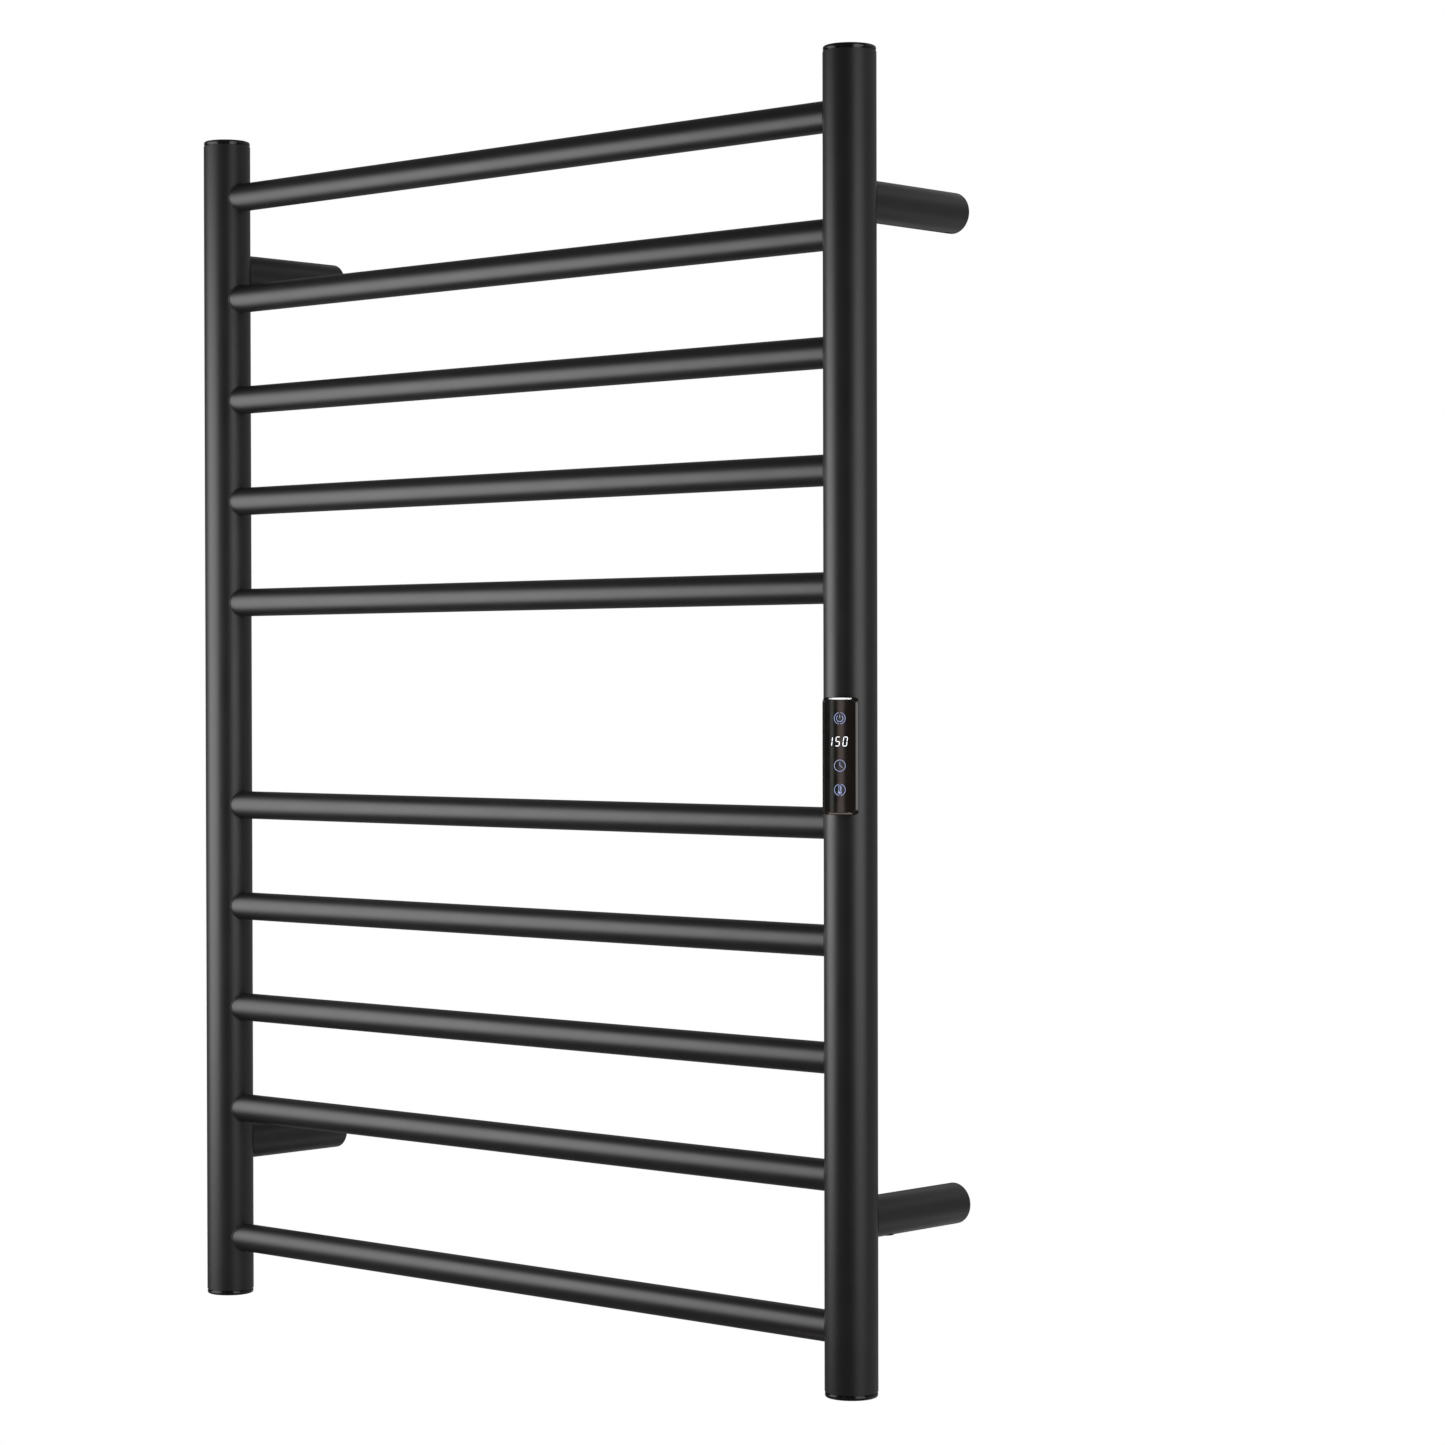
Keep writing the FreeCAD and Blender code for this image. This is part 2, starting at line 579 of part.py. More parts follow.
def make_wall_base(corner, side, height):
    """Cup screwed to the wall, over which the sleeve slides."""
    name = f"wall_base_{corner}"
    body = new_body(name)
    profile = new_sketch(body, f"{name}_profile", "XY_Plane")
    cup = "places.base_radius - sizes.base_wall"
    draw_outline(profile, [
        ("sizes.wall_hole / 2", "0"),
        ("places.base_radius", "0"),
        ("places.base_radius", "-sizes.base_length"),
        (cup, "-sizes.base_length"),
        (cup, "-sizes.base_floor"),
        ("sizes.wall_hole / 2", "-sizes.base_floor"),
    ])
    turn(body, profile)
    tip = Vector(0, -number("sizes.base_length"), 0)
    radius = number("places.base_radius")
    dress(body, "Chamfer", "sizes.base_chamfer", lambda edge: is_rim(edge, tip, radius))
    move(body, POST_SIDES[side], "0", f"places.rack_bottom + {height}")
    node(body, name)


def hexagon_socket(name, depth):
    """Hexagonal prism that cuts a key socket."""
    prism = doc.addObject("Part::Prism", name)
    prism.Polygon = 6
    prism.setExpression("Circumradius", "sizes.hex_key / 2")
    prism.setExpression("Height", depth)
    return prism


def make_sleeve_fixings(corner, side, height):
    """Socket screw through a sleeve's floor and the rivet nut that it threads into."""
    ring = "sizes.earth_thickness" if corner == "lower_right" else "0"
    seat = f"places.sleeve_seat + {ring}"
    tip = "places.post_radius - sizes.nut_length"
    shank = cylinder(f"shank_{corner}", "sizes.screw_diameter / 2", f"{seat} - ({tip})",
                     z="-places.screw_drop", y=tip, along="y")
    head = cylinder(f"head_{corner}", "sizes.screw_head / 2", "sizes.screw_head_height",
                    z="-places.screw_drop", y=seat, along="y")
    socket = hexagon_socket(f"socket_{corner}", "sizes.screw_head_height")
    socket.Placement = Placement(Vector(), ALONG["y"])
    move(socket, "0", f"{seat} + sizes.screw_head_height / 2", "-places.screw_drop")
    screw = cut(f"screw_{corner}", fuse(f"screw_blank_{corner}", shank, head), socket)
    outer = cylinder(f"nut_outer_{corner}", "sizes.nut_diameter / 2", "sizes.nut_length",
                     z="-places.screw_drop", y=tip, along="y")
    trimmed = common(f"nut_trimmed_{corner}", outer,
                     cylinder(f"nut_limit_{corner}", "places.post_radius", "2 * sizes.nut_diameter",
                              z="-places.screw_drop - sizes.nut_diameter"))
    bore = cylinder(f"nut_bore_{corner}", "sizes.screw_diameter / 2", "sizes.nut_length + 1",
                    z="-places.screw_drop", y=f"{tip}", along="y")
    nut = cut(f"nut_{corner}", trimmed, bore)
    return on_post(screw, side, height), on_post(nut, side, height)


def make_grub_screw(corner, side, height):
    """Hexagon grub screw in the underside of a sleeve, backed off so that the sleeve slides."""
    tip = "places.base_radius + sizes.grub_lift"
    length = f"places.sleeve_radius - ({tip}) - sizes.grub_sink"
    thread = cylinder(f"thread_{corner}", "sizes.grub_diameter / 2", length,
                      y="places.sleeve_end - sizes.grub_back", z="-places.sleeve_radius + sizes.grub_sink")
    socket = hexagon_socket(f"grub_socket_{corner}", f"({length}) / 2")
    move(socket, "0", "places.sleeve_end - sizes.grub_back", "-places.sleeve_radius + sizes.grub_sink")
    return on_post(cut(f"grub_{corner}", thread, socket), side, height)


# ---------------------------------------------------------------- supply

def make_bushing():
    """Rubber bushing in the underside of the lower right sleeve, where the supply cord enters."""
    body = new_body("cord_bushing")
    low = "-places.sleeve_radius - sizes.bushing_proud"
    high = "-places.sleeve_radius + sizes.bushing_depth"
    profile = new_sketch(body, "cord_bushing_profile", "XZ_Plane")
    draw_outline(profile, [
        ("sizes.bushing_bore / 2", low),
        ("sizes.bushing_diameter / 2", low),
        ("sizes.bushing_diameter / 2", high),
        ("sizes.bushing_bore / 2", high),
    ])
    turn(body, profile)
    rim = Vector(0, 0, number(low))
    radius = number("sizes.bushing_diameter / 2")
    dress(body, "Fillet", "sizes.bushing_proud", lambda edge: is_rim(edge, rim, radius))
    move(body, POST_SIDES["right"], "-sizes.wall_distance + places.bushing_back",
         f"places.rack_bottom + {LEVELS['lower']}")
    node(body, "cord_bushing")


def make_terminal_block():
    """Block that lies in the lower right sleeve's bore, with three wire entries."""
    lying = cylinder("terminal_round", "places.sleeve_bore", "sizes.terminal_length",
                     y="places.terminal_start", along="y")
    low = "places.sleeve_bore"
    limit = box("terminal_limit", "sizes.terminal_width", "sizes.terminal_length", low,
                y="places.terminal_start", z=f"-sizes.terminal_drop - {low} / 2")
    entries = [cylinder(f"terminal_entry_{i}", "sizes.wire_entry / 2", "sizes.terminal_length / 3",
                        x=f"{i} * sizes.wire_pitch",
                        y="places.terminal_start + sizes.terminal_length * 2 / 3",
                        z="-sizes.terminal_drop - sizes.wire_drop", along="y") for i in (-1, 0, 1)]
    block = cut("terminal_block_cut", common("terminal_body", lying, limit), *entries)
    node(on_post(block, "right", LEVELS["lower"]), "terminal_block")


def make_earth_ring():
    """Ring terminal under the head of the lower right sleeve screw, with its crimp barrel."""
    disc = cylinder("earth_disc", "sizes.screw_head / 2", "sizes.earth_thickness",
                    y="places.sleeve_seat", z="-places.screw_drop", along="y")
    beside = "sizes.screw_head / 2 + sizes.earth_barrel * 0.55"
    tongue = box("earth_tongue", "sizes.earth_barrel", "sizes.earth_thickness", "sizes.earth_barrel",
                 x="sizes.screw_head / 2", y="places.sleeve_seat", z="-places.screw_drop")
    barrel = cylinder("earth_barrel_round", "sizes.earth_barrel / 2", "4 * sizes.earth_barrel", x=beside,
                      y="places.sleeve_seat", z="-places.screw_drop", along="y")
    hole = cylinder("earth_hole", "sizes.screw_diameter / 2", "places.sleeve_seat",
                    y="places.sleeve_seat - 1", z="-places.screw_drop", along="y")
    ring = cut("earth_cut", fuse("earth_blank", disc, tongue, barrel), hole)
    node(on_post(ring, "right", LEVELS["lower"]), "earth_ring")


def turned(x, y, z):
    """Point in the control's own frame, given in the rack's frame."""
    angle = math.radians(number("sizes.face_turn"))
    across = x * math.cos(angle) - y * math.sin(angle)
    back = x * math.sin(angle) + y * math.cos(angle)
    return Vector(number("places.post_x") + across, back, number("places.control_height") + z)


def make_cables():
    """Heating cable that snakes through all ten bars, its cold tails and the supply lead."""
    post_x = number("places.post_x")
    riser = post_x + number("places.riser_offset")
    lane = number("places.lead_lane")
    bend = number("sizes.cable_bend")
    crimp = number("sizes.crimp_length")
    board_low = number("places.board_low")
    board_high = number("places.board_high")
    entry_x = number("sizes.entry_offset")
    middle = number("places.control_height")
    entry_back = number("sizes.entry_back")
    start = middle + board_high + number("sizes.crimp_above_board") + crimp
    finish = middle + board_low - number("sizes.crimp_below_board") - crimp
    route = [Vector(riser, 0, start)]
    side = riser
    for height in LADDER:
        level = number(height)
        route.append(Vector(side, 0, level))
        side = -post_x if side > 0 else post_x
        route.append(Vector(side, 0, level))
    route[-1].x = riser
    route.append(Vector(riser, 0, finish))
    swept_node("heating_cable", [route], number("sizes.cable_diameter"), bend)

    top, low = turned(entry_x, entry_back, board_high), turned(entry_x, entry_back, board_low)
    run = number("sizes.tail_run")
    upper_tail = [Vector(riser, 0, start - crimp), Vector(riser, 0, start - crimp - run),
                  top + Vector(0, 0, run), top]
    lower_tail = [Vector(riser, 0, finish + crimp),
                  Vector(riser, 0, finish + crimp + number("sizes.tail_dip")),
                  low - Vector(0, 0, number("sizes.tail_rise")), low]
    swept_node("cold_tails", [upper_tail, lower_tail], number("sizes.tail_diameter"),
               number("sizes.tail_bend"))

    sleeve = number(LEVELS["lower"])
    back = number("places.terminal_start")
    rise = number("places.lead_rise")
    drop = number("sizes.terminal_drop + sizes.wire_drop")
    entry = turned(-entry_x, entry_back, board_low)
    lead = [Vector(post_x, back, sleeve - drop),
            Vector(post_x, back - number("sizes.lead_run"), sleeve - drop),
            Vector(post_x, back - number("sizes.lead_climb"), sleeve + rise),
            Vector(post_x, lane, sleeve + rise), Vector(post_x, lane, entry.z - number("sizes.lead_turn")),
            entry - Vector(0, 0, number("sizes.lead_rise_run")), entry]
    swept_node("supply_lead", [lead], number("sizes.lead_diameter"), number("sizes.lead_bend"))

    crimps = [cylinder(f"crimp_{i}", "sizes.crimp_diameter / 2", "sizes.crimp_length",
                       "places.post_x + places.riser_offset", "-sizes.wall_distance",
                       f"places.rack_bottom + {bottom}")
              for i, bottom in enumerate((start - crimp, finish))]
    node(group("crimp_group", crimps), "heating_crimps")


# ---------------------------------------------------------------- touch control

def make_housing():
    """Bezel that saddles the post and leans in towards it, with a tray through the post's window."""
    body = new_body("control_housing")
    bezel = new_sketch(body, "bezel_outline", "XZ_Plane", "places.post_radius / 2")
    draw_rectangle(bezel, "sizes.face_width", "sizes.face_height")
    pad(body, bezel, "places.housing_front - places.post_radius / 2")
    dress(body, "Fillet", "sizes.face_corner",
          lambda edge: abs(edge.tangentAt(edge.FirstParameter).y) > 0.999)
    for name, sign in (("left", "-"), ("right", "")):
        lean = new_sketch(body, f"bezel_lean_{name}", "XY_Plane")
        edge = f"{sign}sizes.face_width / 2"
        draw_outline(lean, [
            (edge, "-places.housing_front"),
            (edge, "-places.post_radius / 2"),
            (f"{sign}(sizes.face_width / 2 - sizes.bezel_tuck)", "-places.post_radius / 2"),
        ])
        pocket(body, lean, "2 * sizes.face_height", both_ways=True)
    saddle = new_sketch(body, "bezel_saddle", "XY_Plane")
    draw_circle(saddle, "places.post_radius + sizes.gasket")
    pocket(body, saddle, "2 * sizes.face_height", both_ways=True)
    tray = new_sketch(body, "tray_outline", "XZ_Plane", "places.tray_back")
    draw_rectangle(tray, "places.tray_width", "places.tray_height")
    pad(body, tray, "places.post_radius + sizes.gasket + sizes.tray_overlap - places.tray_back")
    cavity = new_sketch(body, "tray_cavity", "XZ_Plane", "places.housing_front")
    draw_rectangle(cavity, "places.tray_width - 2 * sizes.tray_wall",
                   "places.tray_height - 2 * sizes.tray_wall")
    pocket(body, cavity, "places.housing_front - places.tray_back - sizes.tray_wall")
    slot = new_sketch(body, "link_slot", "XZ_Plane", "places.housing_front")
    draw_rectangle(slot, "sizes.link_width + 2 * sizes.slip_gap", "sizes.link_height + 2 * sizes.slip_gap",
                   y="sizes.link_offset")
    pocket(body, slot, "places.housing_front")
    seat = "sizes.fixing_head_height + sizes.fixing_sink"
    for purpose, radius, depth in (("hole", "sizes.fixing_diameter / 2", "places.housing_front"),
                                   ("seat", "sizes.fixing_head / 2", seat)):
        holes = new_sketch(body, f"fixing_{purpose}", "XZ_Plane", "places.housing_front")
        for sign in ("", "-"):
            draw_circle(holes, radius, "0", f"{sign}sizes.fixing_offset")
        pocket(body, holes, depth)
    node(on_control(body), "control_housing")


def make_lens():
    """Glossy touch lens with a bevel all round."""
    body = new_body("touch_lens")
    outline = new_sketch(body, "lens_outline", "XZ_Plane", "places.face_reach - sizes.lens_thickness")
    draw_rectangle(outline, "sizes.face_width", "sizes.face_height")
    pad(body, outline, "sizes.lens_thickness")
    dress(body, "Fillet", "sizes.face_corner",
          lambda edge: abs(edge.tangentAt(edge.FirstParameter).y) > 0.999)
    front = -number("places.face_reach")
    dress(body, "Chamfer", "sizes.lens_chamfer",
          lambda edge: all(abs(v.Point.y - front) < 1e-4 for v in edge.Vertexes))
    node(on_control(body), "touch_lens")


def make_control_inside():
    """Gasket, adhesive, board, display, key springs, lamps, radio and screws of the control."""
    shell = cut("gasket_shell", cylinder("gasket_outer", "places.post_radius + sizes.gasket",
                                         "sizes.face_height - 2 * sizes.gasket_inset",
                                         z="sizes.gasket_inset - sizes.face_height / 2"),
                cylinder("gasket_inner", "places.post_radius", "sizes.face_height",
                         z="-sizes.face_height / 2"))
    limit = box("gasket_limit", "sizes.gasket_width", "sizes.post_diameter", "sizes.face_height",
                y="-sizes.post_diameter")
    opening = box("gasket_opening", "sizes.window_width", "sizes.post_diameter", "sizes.window_height",
                  y="-sizes.post_diameter")
    holes = [cylinder(f"gasket_hole_{i}", "sizes.fixing_diameter / 2", "sizes.post_diameter",
                      y="-sizes.post_diameter", z=f"{sign}sizes.fixing_offset", along="y")
             for i, sign in enumerate(("", "-"))]
    gasket = cut("gasket_cut", common("gasket_sheet", shell, limit), opening, *holes)
    node(on_control(gasket), "control_gasket")

    sheet_outer = box("adhesive_outer", "sizes.face_width - 2 * sizes.adhesive_side", "sizes.adhesive",
                      "sizes.face_height - 2 * sizes.adhesive_side",
                      y="-places.housing_front - sizes.adhesive")
    sheet_inner = box("adhesive_inner", "places.tray_width + 2 * sizes.adhesive_side", "sizes.adhesive",
                      "sizes.face_height - 2 * sizes.adhesive_end",
                      y="-places.housing_front - sizes.adhesive")
    node(on_control(cut("adhesive_cut", sheet_outer, sheet_inner)), "lens_adhesive")

    inner_width = "places.tray_width - 2 * sizes.tray_wall - 2 * sizes.slip_gap"
    inner_height = "places.tray_height - 2 * sizes.tray_wall - 2 * sizes.slip_gap"
    board = box("control_board_box", inner_width, "sizes.control_board_thickness", inner_height,
                y="-places.control_board_front")
    node(on_control(board), "control_board")

    back = "places.housing_front + sizes.adhesive"
    room = f"{back} - places.control_board_front"
    display = box("display_box", "sizes.display_width", room, "sizes.display_height", y=f"-({back})",
                  z="sizes.display_offset")
    node(on_control(display), "display_module")

    springs, lamps = [], []
    for key, height in (("power", "sizes.power_offset"), ("clock", "-sizes.clock_offset"),
                        ("heat", "-sizes.heat_offset")):
        outer = cylinder(f"{key}_spring_outer", "sizes.key_diameter / 2", room, y=f"-({back})", z=height,
                         along="y")
        inner = cylinder(f"{key}_spring_inner", "sizes.key_diameter / 2 - sizes.key_wall", room,
                         y=f"-({back})", z=height, along="y")
        springs.append(cut(f"{key}_spring", outer, inner))
        lamps.append(box(f"{key}_lamp", "sizes.lamp_width", "sizes.lamp_depth", "sizes.lamp_height",
                         y="-places.control_board_front - sizes.lamp_depth", z=height))
    node(on_control(group("spring_group", springs)), "touch_springs")
    node(on_control(group("lamp_group", lamps)), "key_lamps")

    radio = box("radio_box", "sizes.radio_width", "sizes.radio_depth", "sizes.radio_height",
                y="-places.control_board_back", z="-sizes.radio_drop")
    node(on_control(radio), "wireless_module")

    link = box("link_box", "sizes.link_width", "places.control_board_back + sizes.board_face",
               "sizes.link_height", y="-places.control_board_back", z="sizes.link_offset")
    node(on_control(link), "board_link")

    screws = []
    head_back = "-places.housing_front + sizes.fixing_sink"
    for name, sign in (("upper", ""), ("lower", "-")):
        height = f"{sign}sizes.fixing_offset"
        head = cylinder(f"{name}_fixing_head", "sizes.fixing_head / 2", "sizes.fixing_head_height",
                        y=head_back, z=height, along="y")
        shank = cylinder(f"{name}_fixing_shank", "sizes.fixing_diameter / 2",
                         "places.housing_front - places.post_bore + sizes.fixing_through", y=head_back,
                         z=height, along="y")
        cross = box(f"{name}_fixing_cross", "sizes.cross_width", "sizes.cross_depth", "sizes.cross_length",
                    y=head_back, z=height)
        screws.append(cut(f"{name}_fixing", fuse(f"{name}_fixing_blank", head, shank), cross))
    node(on_control(group("fixing_group", screws)), "control_screws")


# ---------------------------------------------------------------- power board in the post

def component(name, width, depth, length, x, start):
    """Block on the face of the power board, from a height above the board's lower end."""
    return box(name, width, depth, length, x=x, y=f"sizes.board_face - {depth}",
               z=f"places.board_low + {start} + ({length}) / 2")


def make_power_section():
    """Carrier, board and components, in the right post behind and above the control."""
    length = "places.carrier_length"
    start = "places.board_low - sizes.carrier_overhang"
    beyond = "sizes.post_diameter"
    shell = cut("carrier_shell", cylinder("carrier_outside", "places.carrier_outer", length, z=start),
                cylinder("carrier_inside", "places.carrier_inner", length, z=start))
    half = box("carrier_half", beyond, beyond, length, y="sizes.carrier_rim", z="places.board_middle")
    ledge = box("carrier_ledge", beyond, "sizes.carrier_wall", length, y="places.board_back",
                z="places.board_middle")
    limit = cylinder("carrier_limit", "places.carrier_outer", length, z=start)
    throat = box("carrier_throat", "places.board_width - 2 * sizes.ledge_width", beyond, length,
                 z="places.board_middle")
    ledges = cut("carrier_ledges", common("carrier_filling", ledge, limit), throat)
    carrier = fuse("carrier_whole", common("carrier_tray", shell, half), ledges)
    node(on_control(carrier), "board_carrier")

    board = box("power_board_box", "places.board_width", "sizes.board_thickness", "places.board_length",
                y="sizes.board_face", z="places.board_middle")
    node(on_control(board), "power_board")
    relay = component("relay_box", "sizes.relay_width", "sizes.part_depth", "sizes.relay_length", "0",
                      "sizes.relay_start")
    node(on_control(relay), "relay")
    transformer = component("transformer_box", "sizes.transformer_width", "sizes.part_depth",
                            "sizes.transformer_length", "0", "sizes.transformer_start")
    node(on_control(transformer), "transformer")
    for name, size, side in (("capacitor", "sizes.capacitor_diameter", "-"),
                             ("board_fuse", "sizes.fuse_diameter", "")):
        tube = cylinder(f"{name}_tube", f"{size} / 2", "sizes.tube_length", x=f"{side}sizes.entry_offset",
                        y=f"sizes.board_face - {size} / 2", z="places.board_low + sizes.tube_start")
        node(on_control(tube), name)
    blocks = [component("lower_terminals", "4 * sizes.entry_offset - 2 * sizes.block_trim",
                        "sizes.terminal_depth", "sizes.terminal_rise", "0", "0"),
              component("upper_terminals", "2 * sizes.entry_offset - sizes.block_trim",
                        "sizes.terminal_depth", "sizes.terminal_rise",
                        "sizes.entry_offset - sizes.block_trim / 2",
                        "places.board_length - sizes.terminal_rise")]
    node(on_control(group("terminal_group", blocks)), "board_terminals")
    sensor = cylinder("sensor_bead", "sizes.sensor_diameter / 2", "sizes.sensor_length",
                      y="places.post_bore - sizes.sensor_diameter / 2 - sizes.slip_gap",
                      z="places.board_high + sizes.carrier_overhang + sizes.sensor_gap")
    node(on_control(sensor), "temperature_sensor")


# ---------------------------------------------------------------- whole object

for post_side in POST_SIDES:
    make_post(post_side)
for bar_index, bar_height in enumerate(LADDER, start=1):
    make_bar(bar_index, bar_height)
for post_side in POST_SIDES:
    for cap_end in ("top", "bottom"):
        make_cap(post_side, cap_end)
for place in CORNERS:
    make_sleeve(*place)
    make_wall_base(*place)
fixings = [make_sleeve_fixings(*place) for place in CORNERS]
node(group("screw_group", [screw for screw, _ in fixings]), "sleeve_screws")
node(group("nut_group", [nut for _, nut in fixings]), "rivet_nuts")
node(group("grub_group", [make_grub_screw(*place) for place in CORNERS]), "grub_screws")
make_bushing()
make_terminal_block()
make_earth_ring()
make_cables()
make_housing()
make_lens()
make_control_inside()
make_power_section()
doc.recompute()

for thing in doc.Objects:
    if "Invalid" in thing.State or "Error" in thing.State:
        raise RuntimeError(f"{thing.Name} failed: {thing.State}")
for feature, volume_before in CUTS:
    if feature.Shape.Volume > volume_before - 0.1:
        raise RuntimeError(f"{feature.Name} cuts nothing")
os.makedirs("parts", exist_ok=True)
for name, thing in NODES.items():
    shape = thing.Shape
    if shape.isNull() or not shape.isValid():
        raise RuntimeError(f"{name} is not a valid shape")
    shape.exportStep(f"parts/{name}.step")
    print(name, len(shape.Solids), round(shape.Volume))
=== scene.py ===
import json
import math

import bmesh
import bpy
from mathutils import Matrix, Vector


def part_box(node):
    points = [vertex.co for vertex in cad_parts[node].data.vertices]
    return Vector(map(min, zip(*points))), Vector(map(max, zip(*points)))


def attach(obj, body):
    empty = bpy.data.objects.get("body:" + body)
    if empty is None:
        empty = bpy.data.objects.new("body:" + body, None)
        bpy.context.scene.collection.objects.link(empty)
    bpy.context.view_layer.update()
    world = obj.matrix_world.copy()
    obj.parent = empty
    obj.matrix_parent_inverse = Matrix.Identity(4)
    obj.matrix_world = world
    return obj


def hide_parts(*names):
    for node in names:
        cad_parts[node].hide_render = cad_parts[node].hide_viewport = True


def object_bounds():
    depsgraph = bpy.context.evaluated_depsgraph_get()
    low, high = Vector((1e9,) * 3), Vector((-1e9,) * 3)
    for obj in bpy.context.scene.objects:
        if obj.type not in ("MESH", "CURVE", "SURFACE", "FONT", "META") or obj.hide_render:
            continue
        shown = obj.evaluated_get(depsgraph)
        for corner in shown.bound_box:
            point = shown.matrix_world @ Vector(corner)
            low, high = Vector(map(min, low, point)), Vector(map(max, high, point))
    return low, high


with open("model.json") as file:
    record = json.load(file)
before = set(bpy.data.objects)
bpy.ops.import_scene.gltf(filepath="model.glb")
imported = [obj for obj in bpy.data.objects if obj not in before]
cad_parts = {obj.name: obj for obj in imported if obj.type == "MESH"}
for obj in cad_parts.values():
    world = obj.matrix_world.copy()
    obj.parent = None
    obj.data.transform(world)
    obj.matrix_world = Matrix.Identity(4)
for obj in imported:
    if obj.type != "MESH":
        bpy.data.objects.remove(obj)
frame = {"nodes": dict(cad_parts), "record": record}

# Electric ladder towel warmer, in metres, in the frame of its CAD model: +X right, +Z up, front at -Y.

cad_low, cad_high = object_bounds()
MM = 0.001
WHOLE_TURN = 2 * math.pi


def middle(node):
    """Centre of a CAD node's box."""
    low, high = (Vector(corner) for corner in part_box(node))
    return (low + high) / 2


def extent(node):
    """Lengths of a CAD node's box."""
    low, high = (Vector(corner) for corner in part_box(node))
    return high - low


POST_RADIUS = extent("left_post").x / 2
BAR_RADIUS = extent("bar_01").y / 2
SLEEVE_RADIUS = extent("sleeve_upper_left").x / 2
BASE_RADIUS = extent("wall_base_upper_left").x / 2
BARS = [f"bar_{number:02d}" for number in range(1, 11)]
CORNERS = ("upper_left", "upper_right", "lower_left", "lower_right")
SIDES = {"left": middle("left_post"), "right": middle("right_post")}

# The control turns outwards about the right post's axis. Reach is from that axis to the face.
FACE_TURN = math.radians(23)
FACE_REACH = 21 * MM
FACE_WIDTH = 22.4 * MM
FACE_HEIGHT = extent("touch_lens").z
FACE_CORNER = 3 * MM
LENS_DEPTH = 1.8 * MM
LENS_BEVEL = 1.5 * MM
FACE_CROWN = 0.25 * MM
CONTROL_PLACE = (
    Matrix.Translation((SIDES["right"].x, SIDES["right"].y, middle("touch_lens").z))
    @ Matrix.Rotation(FACE_TURN, 4, "Z")
)


# ---------------------------------------------------------------- materials

def linear(code):
    """Linear colour with alpha from an sRGB hex code."""
    parts = [int(code[i:i + 2], 16) / 255 for i in (1, 3, 5)]
    return [p / 12.92 if p <= 0.04045 else ((p + 0.055) / 1.055) ** 2.4 for p in parts] + [1.0]


def add(tree, kind, inputs=None, **settings):
    """Adds a node, sets its properties, and fills or links its inputs."""
    made = tree.nodes.new(kind)
    for name, value in settings.items():
        setattr(made, name, value)
    for key, value in (inputs or {}).items():
        if isinstance(value, bpy.types.NodeSocket):
            tree.links.new(value, made.inputs[key])
        else:
            made.inputs[key].default_value = value
    return made


def start_material(name):
    """Empty material with a Principled shader; gives the tree, the shader and Object coordinates."""
    material = bpy.data.materials.new(name)
    material.use_nodes = True
    tree = material.node_tree
    tree.nodes.clear()
    shader = add(tree, "ShaderNodeBsdfPrincipled")
    add(tree, "ShaderNodeOutputMaterial", {"Surface": shader.outputs["BSDF"]})
    place = add(tree, "ShaderNodeTexCoord").outputs["Object"]
    return material, tree, shader, place


def spots(tree, place, size_mm, detail=2.0):
    """Noise whose blotches are about this many millimetres across."""
    noise = add(tree, "ShaderNodeTexNoise", {"Vector": place, "Scale": 1 / (size_mm * MM), "Detail": detail})
    return noise.outputs["Fac"]


def remap(tree, value, low, high):
    """Spreads the middle of a noise value over a range."""
    node = add(tree, "ShaderNodeMapRange", {"Value": value, "From Min": 0.3, "From Max": 0.7,
                                            "To Min": low, "To Max": high})
    return node.outputs["Result"]


def smooth_step(tree, value, start, end, low=0.0, high=1.0):
    """Smooth change from one value to another between two limits."""
    node = add(tree, "ShaderNodeMapRange", {"Value": value, "From Min": start, "From Max": end,
                                            "To Min": low, "To Max": high}, interpolation_type="SMOOTHSTEP")
    return node.outputs["Result"]


def shade(tree, value, dark, light):
    """Mix of two colours by a value."""
    node = add(tree, "ShaderNodeMix", {"Factor": value}, data_type="RGBA")
    node.inputs["A"].default_value = linear(dark)
    node.inputs["B"].default_value = linear(light)
    return node.outputs["Result"]


def relief(tree, height, depth_mm, strength, under=None):
    """Bump of a depth in millimetres, on top of another bump."""
    inputs = {"Height": height, "Distance": depth_mm * MM, "Strength": strength}
    if under is not None:
        inputs["Normal"] = under
    return add(tree, "ShaderNodeBump", inputs).outputs["Normal"]


def satin_powder_coat():
    """Black polyester powder coat on steel: a soft sheen with faint orange peel and a fine tooth."""
    material, tree, shader, place = start_material("satin_black_powder_coat")
    peel_mm, tooth_mm, cloud_mm = 2.4, 0.35, 30
    peel = relief(tree, spots(tree, place, peel_mm), 0.05, 0.35)
    tooth = relief(tree, spots(tree, place, tooth_mm, 3.0), 0.012, 0.4, peel)
    cloud = spots(tree, place, cloud_mm, 4.0)
    colour = shade(tree, remap(tree, cloud, 0.0, 1.0), "#161617", "#1b1b1c")
    tree.links.new(colour, shader.inputs["Base Color"])
    tree.links.new(remap(tree, cloud, 0.37, 0.41), shader.inputs["Roughness"])
    tree.links.new(tooth, shader.inputs["Normal"])
    shader.inputs["IOR"].default_value = 1.5
    return material


